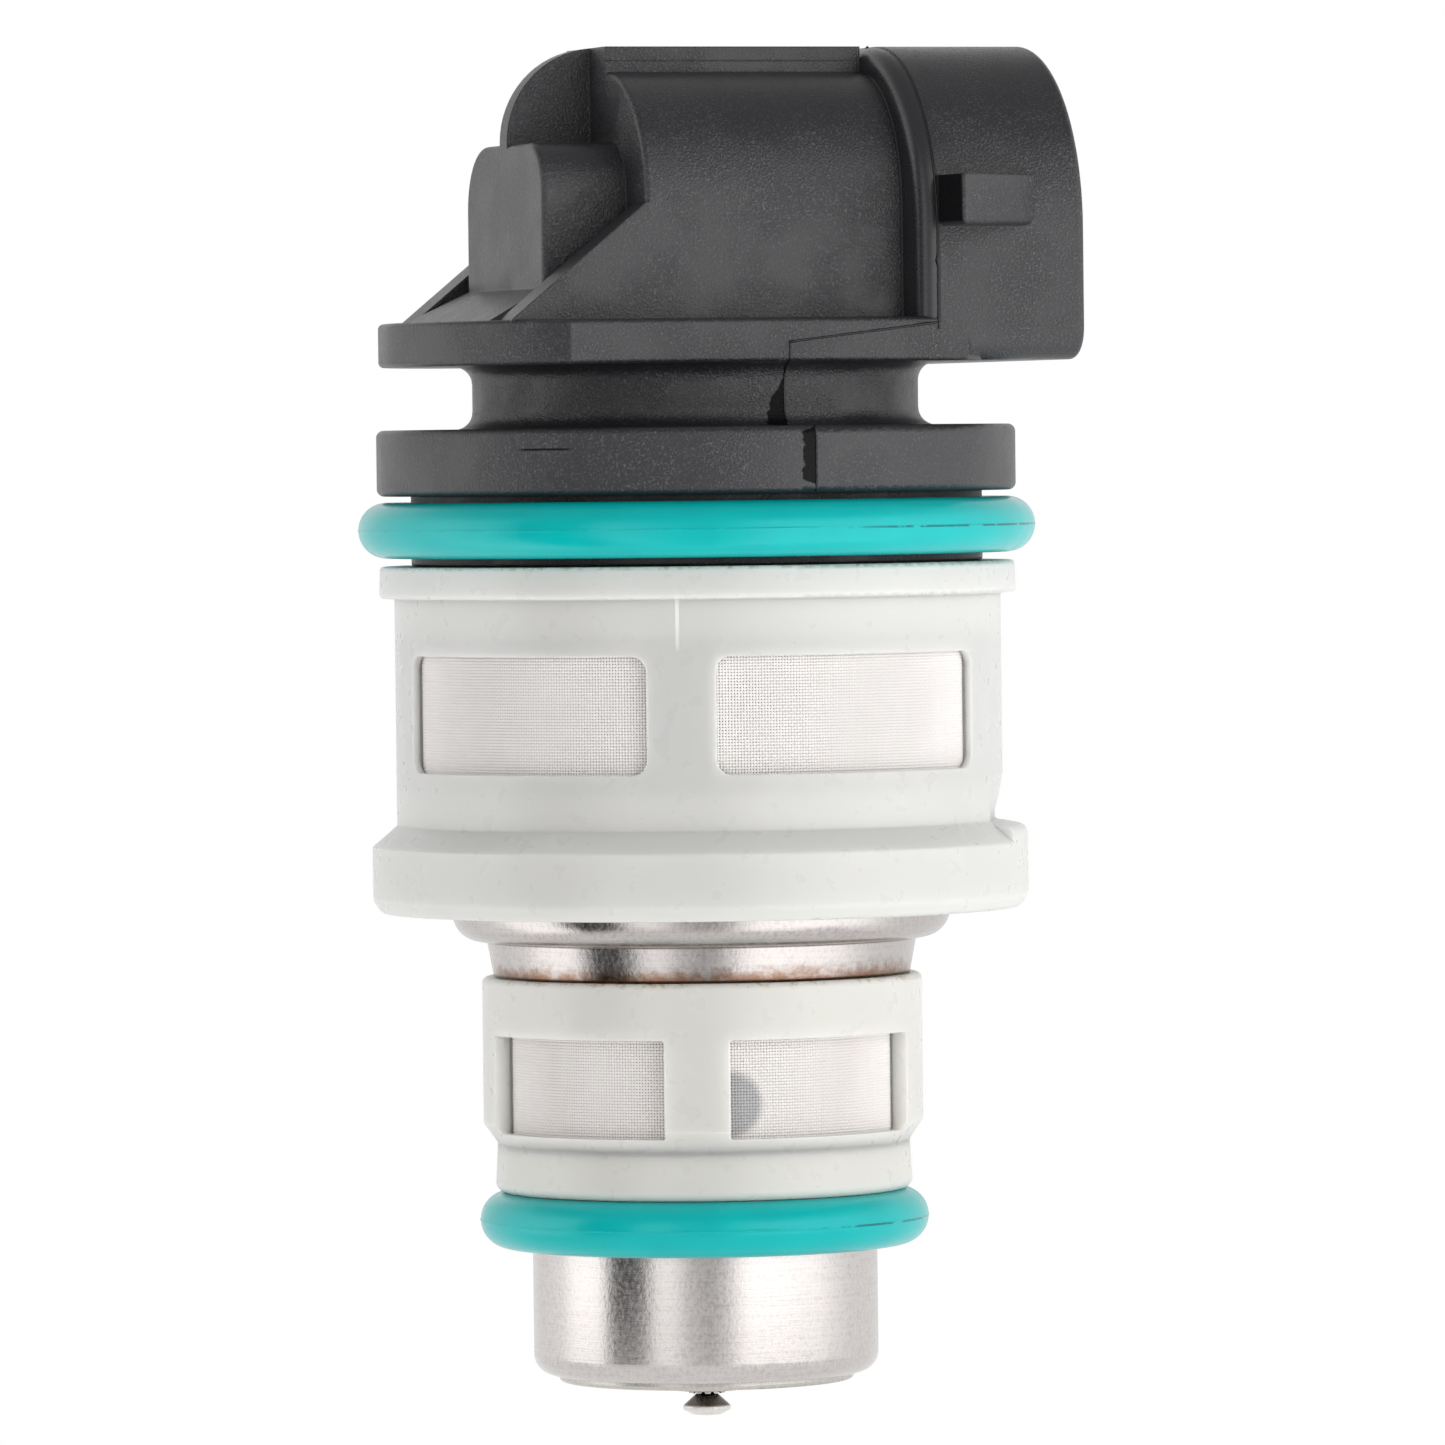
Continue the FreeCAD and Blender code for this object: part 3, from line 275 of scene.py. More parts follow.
# %% Finish helpers
class Finish:
    """One material: its tree, its shader, and the surface point in millimetres."""

    def __init__(self, name, **numbers):
        self.material = bpy.data.materials.get(name) or bpy.data.materials.new(name)
        self.material.use_nodes = True
        self.tree = self.material.node_tree
        self.tree.nodes.clear()
        self.shader = self.node("BsdfPrincipled")
        out = self.node("OutputMaterial")
        fill(self.tree, out.inputs["Surface"], self.shader.outputs[0])
        for key, value in numbers.items():
            self.shader.inputs[key.replace("_", " ")].default_value = value
        place = self.node("TexCoord").outputs["Object"]
        self.point = self.node("VectorMath", {"operation": "SCALE"}, Vector=place, Scale=1 / MM).outputs[0]
        parts = self.node("SeparateXYZ", Vector=self.point)
        self.x, self.y, self.z = parts.outputs
        facing = self.node("SeparateXYZ", Vector=self.node("TexCoord").outputs["Normal"])
        self.normal_z = facing.outputs["Z"]

    def node(self, kind, settings=None, **inputs):
        return node(self.tree, kind, settings, **inputs)

    def sums(self, operation, *values):
        """One Math node of this finish, and its result."""
        return sums(self.tree, operation, *values)

    def times(self, *factors):
        """Product of several values."""
        product = factors[0]
        for factor in factors[1:]:
            product = self.sums("MULTIPLY", product, factor)
        return product

    def mix(self, factor, first, second):
        """Blend of two colours of this finish."""
        return mix(self.tree, factor, first, second)

    def darker(self, colour, share):
        """A colour scaled down by a share that may change over the surface."""
        return self.node("VectorMath", {"operation": "SCALE"}, Vector=colour, Scale=share).outputs[0]

    def between(self, value, start, end, low_value=0.0, high_value=1.0):
        return between(self.tree, value, start, end, low_value, high_value)

    def within(self, value, start, end, soft):
        """1 from start to end, and 0 beyond a soft border on each side."""
        return self.times(self.between(value, start - soft, start), self.between(value, end + soft, end))

    def noise(self, per_mm, detail=2.0, roughness=0.5, stretch=None):
        """Cloudy pattern with about per_mm blotches in a millimetre; stretch scales its axes."""
        where = self.point
        if stretch:
            where = self.node("VectorMath", {"operation": "MULTIPLY"}, Vector=where)
            where.inputs[1].default_value = stretch
            where = where.outputs[0]
        made = self.node("TexNoise", Vector=where, Scale=per_mm, Detail=detail, Roughness=roughness)
        return made.outputs["Fac"]

    def turn(self):
        """Angle round the injector's axis, in degrees from -Y towards +X."""
        angle = self.sums("ARCTAN2", self.x, self.sums("MULTIPLY", self.y, -1.0))
        return self.sums("MULTIPLY", angle, 180 / math.pi)

    def set(self, socket, value):
        """Links or types a value into one of the shader's inputs."""
        fill(self.tree, self.shader.inputs[socket], value)

    def bump(self, height, depth_mm, softened_edge_mm=0.0):
        """Presses a pattern into the surface; edges can be softened in the same step."""
        made = self.node("Bump", Height=height, Strength=1.0, Distance=depth_mm * MM)
        if softened_edge_mm:
            edge = self.node("Bevel", {"samples": 4}, Radius=softened_edge_mm * MM)
            fill(self.tree, made.inputs["Normal"], edge.outputs["Normal"])
        self.set("Normal", made.outputs["Normal"])

    def give(self, *names):
        """Puts the finish on these pieces of the frame."""
        for name in names:
            slots = nodes[name].data.materials
            for index in range(len(slots)):
                slots[index] = self.material
            nodes[name]["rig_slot"] = slot_of[name]


slot_of = {part["node"]: part["material_slot"] for part in frame["record"]["subparts"]}
print("slots:", len(set(slot_of.values())))

# %% [markdown]
# ## New pieces
# The mechanical model has the working shapes, and the fine things are added as pieces of their own.
# Each one is a mesh made from plain lists of points, in millimetres, that rides on the housing and
# names the material it wears. Modelling them by hand would also do, but then a changed size would
# mean modelling them again.

# %% New pieces
def new_piece(name, points, faces, slot, smooth=True):
    """Mesh object in metres from points in millimetres, riding on the housing."""
    mesh = bpy.data.meshes.new(name)
    mesh.from_pydata((np.asarray(points) * MM).tolist(), [], np.asarray(faces).tolist())
    mesh.polygons.foreach_set("use_smooth", [smooth] * len(mesh.polygons))
    piece = bpy.data.objects.new(name, mesh)
    scene.collection.objects.link(piece)
    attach(piece, "housing")
    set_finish(piece, slot)
    return piece


print("new pieces ride on the housing")

# %% [markdown]
# ## Black nylon
# The head is glass-filled nylon out of a steel mould. The mould was spark-eroded, which leaves a
# fine grain of tiny bright-edged pits on the upright walls, while level faces and the narrow band
# behind the mouth come out of smoother steel. The colour is nearly black; what the eye reads as
# grey is soft light caught by the grain. So the base stays dark, apart from the pits' glints, which
# are painted into it as pale specks, a painted highlight. Most of the work is in the roughness and
# the bump, with a mask that thins the grain out where the steel was smooth.

# %% Black nylon
NYLON_DARK = (0.0122, 0.0122, 0.0150)
NYLON_WORN = (0.0188, 0.0188, 0.0222)
PAINTED_GRAIN_GLINT = (0.095, 0.094, 0.098)
GRAIN_PER_MM = 9.0
BAND_BACK = 7.2
BAND_FRONT = 8.32
BAND_FOOT = 43.2

black_nylon = Finish("black_nylon", IOR=1.58)
grain = black_nylon.noise(GRAIN_PER_MM, detail=2.0, roughness=0.65)
upright = black_nylon.between(black_nylon.sums("ABSOLUTE", black_nylon.normal_z), 0.85, 0.25, 0.45, 1.0)
on_head = black_nylon.between(black_nylon.z, BAND_FOOT, BAND_FOOT + 0.1)
on_band = black_nylon.times(on_head, black_nylon.within(black_nylon.x, BAND_BACK, BAND_FRONT, 0.02))
patches = black_nylon.between(black_nylon.noise(0.35, detail=4.0), 0.35, 0.65, 0.45, 1.0)
grained = black_nylon.times(upright, black_nylon.sums("SUBTRACT", 1.0, on_band), patches)
dull = black_nylon.mix(black_nylon.noise(0.25, detail=3.0), NYLON_DARK, NYLON_WORN)
# Pale specks where the grain is: a painted highlight, the glints of the pits painted into the colour.
painted_glint = black_nylon.times(black_nylon.between(grain, 0.50, 0.72), grained)
colour = black_nylon.mix(painted_glint, dull, PAINTED_GRAIN_GLINT)
print("black nylon: grain of", GRAIN_PER_MM, "pits in a millimetre")

# %% [markdown]
# ## Scars and dark tab backs
# Where the mould's halves met, a wedge of smoother, darker skin lies beside the line on the neck
# and on the lower flange. The wedge is a width that depends on the height, made ragged by noise:
# a point is scarred if it is nearer the line than that width. The lock tabs' rear faces are given
# a near-black colour and a weaker reflection. An image could be painted for this, but a few sums
# keep the marks sharp at any distance.

# %% Scars and dark tab backs
LINE_X = 0.93
NECK_FOOT = 38.5
NECK_TOP = 41.2
RIM_FOOT = 36.1
RIM_TOP = 38.2
SCAR_FOOT = 35.6
SCAR_TOP = 41.5
SCAR_COLOUR = (0.003, 0.003, 0.004)
SCRATCH_TURNS = (-49.0, -42.0)
SCRATCH_HEIGHTS = (37.53, 37.58)
TAB_BACK = 8.27
TAB_ROOT = 11.42
TAB_BACK_BLACK = (0.002, 0.002, 0.003)
GRAIN_DEPTH = 0.07
HEAD_EDGE_SOFTNESS = 0.14

neck_width = black_nylon.times(black_nylon.between(black_nylon.z, NECK_TOP, NECK_FOOT + 0.4, 0.0, 0.95),
                               black_nylon.between(black_nylon.z, NECK_FOOT, NECK_FOOT + 0.1))
rim_width = black_nylon.times(black_nylon.within(black_nylon.z, RIM_FOOT, RIM_TOP, 0.35), 0.65)
wedge = black_nylon.sums("ADD", neck_width, rim_width)
ragged = black_nylon.sums("MULTIPLY_ADD", black_nylon.noise(2.5, detail=3.0), 0.7, -0.35)
from_line = black_nylon.sums("SUBTRACT", LINE_X, black_nylon.x)
width = black_nylon.sums("ADD", wedge, black_nylon.times(ragged, wedge))
scar = black_nylon.times(black_nylon.between(black_nylon.sums("SUBTRACT", width, from_line), -0.03, 0.06),
                         black_nylon.between(from_line, -0.02, 0.02),
                         black_nylon.within(black_nylon.z, SCAR_FOOT, SCAR_TOP, 0.1),
                         black_nylon.between(wedge, 0.05, 0.15))
scratch = black_nylon.times(black_nylon.within(black_nylon.turn(), *SCRATCH_TURNS, 3.0),
                            black_nylon.within(black_nylon.z, *SCRATCH_HEIGHTS, 0.05))
scar = black_nylon.sums("MAXIMUM", scar, scratch)
off_side = black_nylon.sums("ABSOLUTE", black_nylon.y)
# The lock tabs' rear faces: a near-black colour and a weaker reflection.
tab_back = black_nylon.times(black_nylon.within(black_nylon.x, TAB_BACK - 0.06, TAB_BACK + 0.04, 0.01),
                             black_nylon.between(off_side, TAB_ROOT, TAB_ROOT + 0.05), on_head)
colour = black_nylon.mix(tab_back, black_nylon.mix(scar, colour, SCAR_COLOUR), TAB_BACK_BLACK)
black_nylon.set("Base Color", colour)
calm = black_nylon.sums("MAXIMUM", scar, tab_back)
black_nylon.set("Specular IOR Level", black_nylon.between(calm, 0.0, 1.0, 0.5, 0.10))
gloss = black_nylon.between(grain, 0.3, 0.7, 0.30, 0.44)
grain_gloss = black_nylon.sums("MULTIPLY_ADD", grained, 0.10, -0.06)
black_nylon.set("Roughness", black_nylon.sums("ADD", gloss, grain_gloss))
black_nylon.bump(black_nylon.times(grain, grained), GRAIN_DEPTH, HEAD_EDGE_SOFTNESS)
black_nylon.give("connector_housing")
print("scars beside x =", LINE_X, "mm")

# %% [markdown]
# ## The mould's parting line
# The two halves of the mould never close perfectly, and a hair of nylon called flash is left along
# the line between them. A scratched line in the bump would vanish at this size, so the flash is a
# real bead thinner than a hair. Its path is found by looking inwards from outside the head and
# taking the first point met, which lays it on the surface whatever the surface does.

# %% Points on the head's surface
HEAD_MIDDLE_Z = 48.0
OUTSIDE = 30.0
LONGEST_JUMP = 0.4


def met(start, towards):
    """First point of the head met from start, and the surface's direction there, in millimetres."""
    head = nodes["connector_housing"]
    into = head.matrix_world.inverted()
    begin = into @ (Vector(start) * MM)
    aim = (into.to_3x3() @ Vector(towards)).normalized()
    found, place, facing, _ = head.ray_cast(begin, aim)
    if not found:
        return None
    turned_facing = (head.matrix_world.to_3x3() @ facing).normalized()
    return (head.matrix_world @ place) / MM, turned_facing


def looked_in(x, end_turn, steps):
    """Hits on the head at one x, looking inwards from straight above round to end_turn."""
    hits = []
    for step in range(steps + 1):
        turn = math.radians(end_turn * step / steps)
        out = Vector((0, math.sin(turn), math.cos(turn)))
        hits.append(met(Vector((x, 0, HEAD_MIDDLE_Z)) + out * OUTSIDE, -out))
    return hits


def looked_across(places, side):
    """Hits on the head at (x, z) places, looking inwards from one side."""
    return [met((x, side * OUTSIDE, z), (0, -side, 0)) for x, z in places]


def split_path(hits):
    """Runs of neighbouring points; a jump to another surface starts a new run."""
    runs = [[]]
    for hit in hits:
        if hit is None or (runs[-1] and (hit[0] - runs[-1][-1][0]).length > LONGEST_JUMP):
            runs.append([])
        if hit is not None:
            runs[-1].append(hit)
    return [run for run in runs if len(run) > 2]


print("looking inwards from", OUTSIDE, "mm out")

# %% [markdown]
# ## The bead of flash
# Flash is never even: it swells where the mould is worn. So the bead's thickness changes from point
# to point, and it has one lump at the top of the arch and one on its side. Four sides are enough
# for a thing that fine. A curve with a round bevel would do for the tube, but not for the lumps.

# %% Flash along the parting line
BAND_X = 8.24
ARCH_END = 114.0
ARCH_STEPS = 150
BEAD_SIDES = 4
FLASH_R = 0.058
BULGE_REACH = 0.18
SLANT_FROM = (BAND_X, 43.25)
SLANT_TO = (LINE_X, 42.4)
SLANT_STEPS = 40
DOWN_STEPS = 72
DOWN_STEP = 0.1
WANDER = 0.03
ARCH_LUMP = (1.5, 56.26, 0.10)
SIDE_LUMP = (11.28, 46.1, 0.07)


def bead(name, runs, finish, bulges):
    """Thin bead along the runs; bulges are (point, size) places where it swells."""
    points, faces = [], []
    for run in runs:
        first = len(points)
        for index, (place, facing) in enumerate(run):
            along = (run[min(index + 1, len(run) - 1)][0] - run[max(index - 1, 0)][0]).normalized()
            across = along.cross(facing).normalized()
            radius = FLASH_R * (0.8 + 0.4 * generator.random())
            for middle, size in bulges:
                radius += size * math.exp(-((place - Vector(middle)).length / BULGE_REACH) ** 2)
            for side in range(BEAD_SIDES):
                turn = math.tau * side / BEAD_SIDES
                points.append(place + facing * radius * math.cos(turn) + across * radius * math.sin(turn))
        for row in range(len(run) - 1):
            here = first + row * BEAD_SIDES
            for side in range(BEAD_SIDES):
                after = (side + 1) % BEAD_SIDES
                faces.append((here + side, here + after, here + BEAD_SIDES + after, here + BEAD_SIDES + side))
        last = first + (len(run) - 1) * BEAD_SIDES
        faces.append(tuple(range(first, first + BEAD_SIDES))[::-1])
        faces.append(tuple(range(last, last + BEAD_SIDES)))
    piece = new_piece(name, [tuple(point) for point in points], faces, "black_nylon")
    piece.data.materials.append(finish.material)
    return piece


generator = random.Random(11)
# The bead's nylon is painted blacker than the head's: a painted shadow, the dark line along the parting.
flash_and_shadow = Finish("black_nylon_flash_and_shadow", Roughness=0.3)
flash_and_shadow.set("Base Color", flash_and_shadow.mix(flash_and_shadow.noise(3.0), (0.003, 0.003, 0.004), (0.012, 0.012, 0.013)))
slant = [(SLANT_FROM[0] - step * (SLANT_FROM[0] - SLANT_TO[0]) / SLANT_STEPS,
          SLANT_FROM[1] - step * (SLANT_FROM[1] - SLANT_TO[1]) / SLANT_STEPS)
         for step in range(SLANT_STEPS + 1)]
for side, label in ((-1, "near"), (1, "far")):
    arch = looked_in(BAND_X, side * ARCH_END, ARCH_STEPS)
    down = [(LINE_X + WANDER * generator.random(), SLANT_TO[1] - step * DOWN_STEP)
            for step in range(DOWN_STEPS)]
    runs = split_path(arch) + split_path(looked_across(slant, side)) + split_path(looked_across(down, side))
    bulges = [((BAND_X, side * y, z), size) for y, z, size in (ARCH_LUMP, SIDE_LUMP)]
    made = bead("parting_flash_" + label, runs, flash_and_shadow, bulges)
    print(made.name, [len(run) for run in runs])

# %% [markdown]
# ## Natural nylon
# The filters' frames are nylon with no pigment. Light goes a little way into it and comes out
# again, which softens every edge, so subsurface scattering is used and not only a pale colour. Fuel
# leaves brown specks on the upper edges, where dirt settles first.

# %% Filter nylon
FUEL_BROWN = (0.36, 0.27, 0.16)
WITNESS_PALE = (0.97, 0.97, 0.95)
SCATTER = 1.3 * MM
SKIN_DEPTH = 0.004
FRAME_EDGE_SOFTNESS = 0.10
UPPER_DIRT = 0.22
LOWER_DIRT = 0.30
WITNESS = (-21.8, 28.6, 30.4)


def natural_nylon(name, colour, warm, dirty_z, dirt_height, witness=None):
    """Undyed nylon with fuel dirt just below dirty_z; witness is an upright mark (turn, foot, top)."""
    nylon = Finish(name, Subsurface_Weight=1.0, Subsurface_Scale=SCATTER, IOR=1.5)
    nylon.shader.inputs["Subsurface Radius"].default_value = (1.0, 1.0, 1.0)
    clean = ramp(nylon.tree, nylon.noise(0.18, detail=3.0), [(0.35, colour), (0.75, warm)])
    spots = nylon.between(nylon.noise(2.4, detail=5.0, roughness=0.7), 0.48, 0.60, 0.0, 0.75)
    edge = nylon.between(nylon.z, dirty_z - dirt_height, dirty_z)
    reach = nylon.between(nylon.noise(0.25, detail=2.0), 0.36, 0.50)
    soiled = nylon.mix(nylon.times(spots, nylon.times(edge, reach)), clean, FUEL_BROWN)
    if witness:
        turn, foot, top = witness
        streak = nylon.times(nylon.within(nylon.turn(), turn - 0.2, turn + 0.2, 0.25),
                             nylon.within(nylon.z, foot, top, 0.5), 0.75)
        soiled = nylon.mix(streak, soiled, WITNESS_PALE)
    nylon.set("Base Color", soiled)
    skin = nylon.noise(1.1, detail=2.0)
    nylon.set("Roughness", nylon.between(skin, 0.3, 0.7, 0.27, 0.33))
    nylon.bump(skin, SKIN_DEPTH, FRAME_EDGE_SOFTNESS)
    return nylon


upper_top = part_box("upper_filter_frame")[1].z / MM
lower_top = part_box("lower_filter_frame")[1].z / MM
upper_nylon = natural_nylon("upper_filter_nylon", (0.665, 0.665, 0.645), (0.69, 0.685, 0.66),
                            upper_top, UPPER_DIRT, witness=WITNESS)
upper_nylon.give("upper_filter_frame", "upper_filter_screen")
lower_nylon = natural_nylon("lower_filter_nylon", (0.68, 0.675, 0.635), (0.705, 0.695, 0.65),
                            lower_top, LOWER_DIRT)
lower_nylon.give("lower_filter_frame", "lower_filter_screen")
print("filters: dirt settles under", round(upper_top, 2), "and", round(lower_top, 2), "mm")

# %% [markdown]
# ## Woven screens
# Each window of a filter holds a piece of plain-woven nylon cloth, fine enough to stop grit. A
# pattern of holes in a flat sheet is the usual shortcut, but it looks flat as soon as the steel
# behind shows through it. There is room for the real thing: one set of threads runs up, the other
# runs round, and each thread passes over and under those it crosses. A thread is a four-sided tube,
# and its corners come from one sum over all threads at once, which keeps a million numbers quick.

# %% Weaving
PITCH = 0.14
THREAD_R = 0.053
WAVE = 0.042
SIDE_MARGIN = 4.0
END_MARGIN = 0.25
SLOT = 0.30


def tubes(centre, outward, sideways):
    """Points and faces of four-sided tubes along rows of points; all arrays are (threads, points, 3)."""
    corners = [outward, sideways, -outward, -sideways]
    ring = np.stack([centre + corner * THREAD_R for corner in corners], axis=2)
    threads, points = ring.shape[:2]
    index = np.arange(threads * points * 4).reshape(threads, points, 4)
    here, ahead_ring = index[:, :-1], index[:, 1:]
    sides = np.stack([here, np.roll(here, -1, axis=2), np.roll(ahead_ring, -1, axis=2), ahead_ring], axis=3)
    caps = np.concatenate([index[:, 0, ::-1], index[:, -1]])
    return ring.reshape(-1, 3), np.concatenate([sides.reshape(-1, 4), caps])


def woven_panel(name, slot, radius, foot, top, middle, width):
    """Plain-woven cloth bent round the axis; angles in degrees from -Y towards +X."""
    step = PITCH / radius
    across = int(math.radians(width) / step) + 1
    up = int((top - foot) / PITCH) + 1
    start = math.radians(middle - width / 2)

    def place(angle, height, reach):
        return np.stack([reach * np.sin(angle), -reach * np.cos(angle), height + 0 * angle], axis=-1)

    def tube_set(angle, height, wave):
        centre = place(angle, height, radius + wave)
        outward = place(angle, 0 * height, 1.0 + 0 * angle)
        return centre, outward

    thread, sample = np.meshgrid(np.arange(across), np.arange(2 * up - 1), indexing="ij")
    angle = start + thread * step
    height = foot + sample * PITCH / 2
    wave = WAVE * np.cos(np.pi * sample / 2) * (-1.0) ** thread
    centre, outward = tube_set(angle, height, wave)
    sideways = place(angle + np.pi / 2, 0 * height, 1.0 + 0 * angle)
    points, faces = tubes(centre, outward, sideways)

    thread, sample = np.meshgrid(np.arange(up), np.arange(2 * across - 1), indexing="ij")
    angle = start + sample * step / 2
    height = foot + thread * PITCH
    wave = -WAVE * np.cos(np.pi * sample / 2) * (-1.0) ** thread
    centre, outward = tube_set(angle, height, wave)
    upwards = np.zeros_like(centre)
    upwards[..., 2] = 1.0
    more_points, more_faces = tubes(centre, outward, -upwards)
    faces = np.concatenate([faces, more_faces + len(points)])
    return new_piece(name, np.concatenate([points, more_points]), faces, slot)


print("weave:", round(1 / PITCH, 1), "threads in a millimetre")

# %% [markdown]
# ## A panel behind each window
# One long cloth would mostly lie hidden in the frame, so each window gets a panel of its own, a
# little larger than the opening. The thread is clear nylon that sends light back from all its
# depth, so its colour is close to white. Where the shell has a port behind the cloth, less light
# comes back: that is a round patch in the thread's colour, placed by its turn and its height.

# %% Screen panels
PORT_SHADE = (0.20, 0.22, 0.25)
PORTS_APART = 90.0
UPPER_WINDOWS = {"strut": 13.0, "width": 59.5, "turn": -21.2}
LOWER_WINDOWS = {"strut": 17.0, "width": 60.0, "turn": -19.5}


def window_middles(strut, width, turn):
    """Number and middle angle of each window: two beside one strut and two beside the opposite one."""
    beside = ((0, -1), (0, 1), (180, -1), (180, 1))
    return [(number, turn + strut_turn + hand * (strut + width) / 2)
            for number, (strut_turn, hand) in enumerate(beside, start=1)]


def screens(which, finish, strut, width, turn):
    """The four panels of one filter's screen, one behind each window."""
    lowest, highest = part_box(which + "_screen")
    radius = highest.x / MM - SLOT / 2
    panels = []
    for number, middle in window_middles(strut, width, turn):
        foot, top = lowest.z / MM + END_MARGIN, highest.z / MM - END_MARGIN
        panel = woven_panel(f"{which}_screen_panel_{number}", which + "_mesh", radius, foot, top,
                            middle, width + SIDE_MARGIN)
        panel.data.materials.append(finish.material)
        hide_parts(which + "_screen")
        panels.append(panel)
    print(which, "panels:", [len(panel.data.polygons) for panel in panels], "faces")


def cloth(name, colour, paler, port=None):
    """Nylon thread; port is (turn, height, radius, distance from the axis) of a hole behind it."""
    thread = Finish(name, Roughness=0.35, IOR=1.55)
    shade = ramp(thread.tree, thread.noise(0.35, detail=3.0), [(0.3, colour), (0.7, paler)])
    if port:
        port_turn, port_z, port_r, reach = port
        off_turn = thread.sums("SUBTRACT", thread.turn(), port_turn)
        nearest = thread.sums("WRAP", off_turn, PORTS_APART / 2, -PORTS_APART / 2)
        sideways = thread.times(nearest, math.radians(1.0) * reach)
        upwards = thread.sums("SUBTRACT", thread.z, port_z)
        square = thread.sums("MULTIPLY_ADD", upwards, upwards, thread.times(sideways, sideways))
        over = thread.between(thread.sums("SQRT", square), port_r + 0.25, port_r - 0.25, 0.0, 0.5)
        shade = thread.mix(over, shade, PORT_SHADE)
    thread.set("Base Color", shade)
    return thread


upper_cloth = cloth("upper_filter_mesh", (0.96, 0.925, 0.91), (0.98, 0.955, 0.94))
lower_cloth = cloth("lower_filter_mesh", (0.96, 0.915, 0.90), (0.98, 0.95, 0.93),
                    port=(-10.7, 7.13, 1.5, 9.45))
screens("upper_filter", upper_cloth, **UPPER_WINDOWS)
screens("lower_filter", lower_cloth, **LOWER_WINDOWS)

# %% [markdown]
# ## Where the nylon grips the cloth
# The frame is moulded round its cloth, and the nylon runs through the cloth's borders. Without
# those borders there would be an open slot to look into beside every window. Each one is a short
# wall bent round the axis: two uprights, a sill and a lintel, in the frame's own nylon.

# %% Grips
GRIP_CLEARANCE = 0.01
CLOTH_HIDDEN = 0.80


def block_piece(name, slot, blocks):
    """Curved blocks bent round the axis; each is (inner, outer, foot, top, start turn, end turn)."""
    points, faces = [], []
    for inner, outer, foot, top, start, end in blocks:
        steps = max(2, int(abs(end - start)))
        first = len(points)
        for step in range(steps + 1):
            turn = math.radians(start + (end - start) * step / steps)
            for reach, height in ((inner, foot), (outer, foot), (outer, top), (inner, top)):
                points.append((reach * math.sin(turn), -reach * math.cos(turn), height))
        for step in range(steps):
            here = first + 4 * step
            for corner in range(4):
                after = (corner + 1) % 4
                faces.append((here + corner, here + after, here + 4 + after, here + 4 + corner))
        last = first + 4 * steps
        faces.append((first + 3, first + 2, first + 1, first))
        faces.append((last, last + 1, last + 2, last + 3))
    return new_piece(name, points, faces, slot, smooth=False)


def grips(which, nylon, strut, width, turn):
    """Nylon that has run through the cloth all round each window and holds it in the frame."""
    lowest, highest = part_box(which + "_screen")
    outer = highest.x / MM - GRIP_CLEARANCE
    inner = highest.x / MM - SLOT + GRIP_CLEARANCE
    low_end, high_end = lowest.z / MM + GRIP_CLEARANCE, highest.z / MM - GRIP_CLEARANCE
    foot, top = lowest.z / MM + CLOTH_HIDDEN, highest.z / MM - CLOTH_HIDDEN
    for number, middle in window_middles(strut, width, turn):
        left, right = middle - width / 2, middle + width / 2
        piece = block_piece(f"{which}_cloth_grip_{number}", which + "_nylon", [
            (inner, outer, low_end, high_end, left - SIDE_MARGIN / 2, left),
            (inner, outer, low_end, high_end, right, right + SIDE_MARGIN / 2),
            (inner, outer, low_end, foot, left, right),
            (inner, outer, top, high_end, left, right)])
        piece.data.materials.append(nylon.material)


grips("upper_filter", upper_nylon, **UPPER_WINDOWS)
grips("lower_filter", lower_nylon, **LOWER_WINDOWS)
print("cloth gripped by", 2 * 4, "borders")

# %% [markdown]
# ## Rubber rings
# An O-ring is moulded in two halves, and a hair of rubber is left where the halves met: a thin
# line round its outside. It is turned here as a section carried round the axis, with that line as
# a real ridge, and the ring's inner side is flat where it is stretched over its seat.

# %% Turning a closed section
def turned_ring(name, slot, section, steps):
    """Carries a closed (radius, height) outline round the axis; section may depend on the angle."""
    rows = [section(math.tau * step / steps) for step in range(steps)]
    points = []
    for step, row in enumerate(rows):
        angle = math.tau * step / steps
        points += [(reach * math.cos(angle), reach * math.sin(angle), height) for reach, height in row]
    count = len(rows[0])
    faces = []
    for step in range(steps):
        for index in range(count):
            after = (index + 1) % count
            here, there = step * count, (step + 1) % steps * count
            faces.append((here + index, there + index, there + after, here + after))
    return new_piece(name, points, faces, slot)


print("a section can be turned round the axis")

# %% [markdown]
# ## Teal rubber
# Seals are dyed so that a fitter can tell a fuel-proof one from a common one. The skin of moulded
# rubber is satin: a soft, wide highlight with no sharp edge. The moulding line is painted darker
# in the colour too, a painted shade as of a crevice, strongest on the +x side and broken up by a
# noise pattern.

# %% Rubber
SECTION_POINTS = 44
RING_STEPS = 288
RIDGE = 0.035
UPPER_STRETCH = 0.16
LOWER_STRETCH = 0.01
RIDGE_HALF_DEG = 2.6
LINE_HALF = 0.035
TEAL = (0.0, 0.445, 0.445)
TEAL_PALE = (0.0, 0.485, 0.475)
LINE_SHADE = (0.0, 0.10, 0.12)


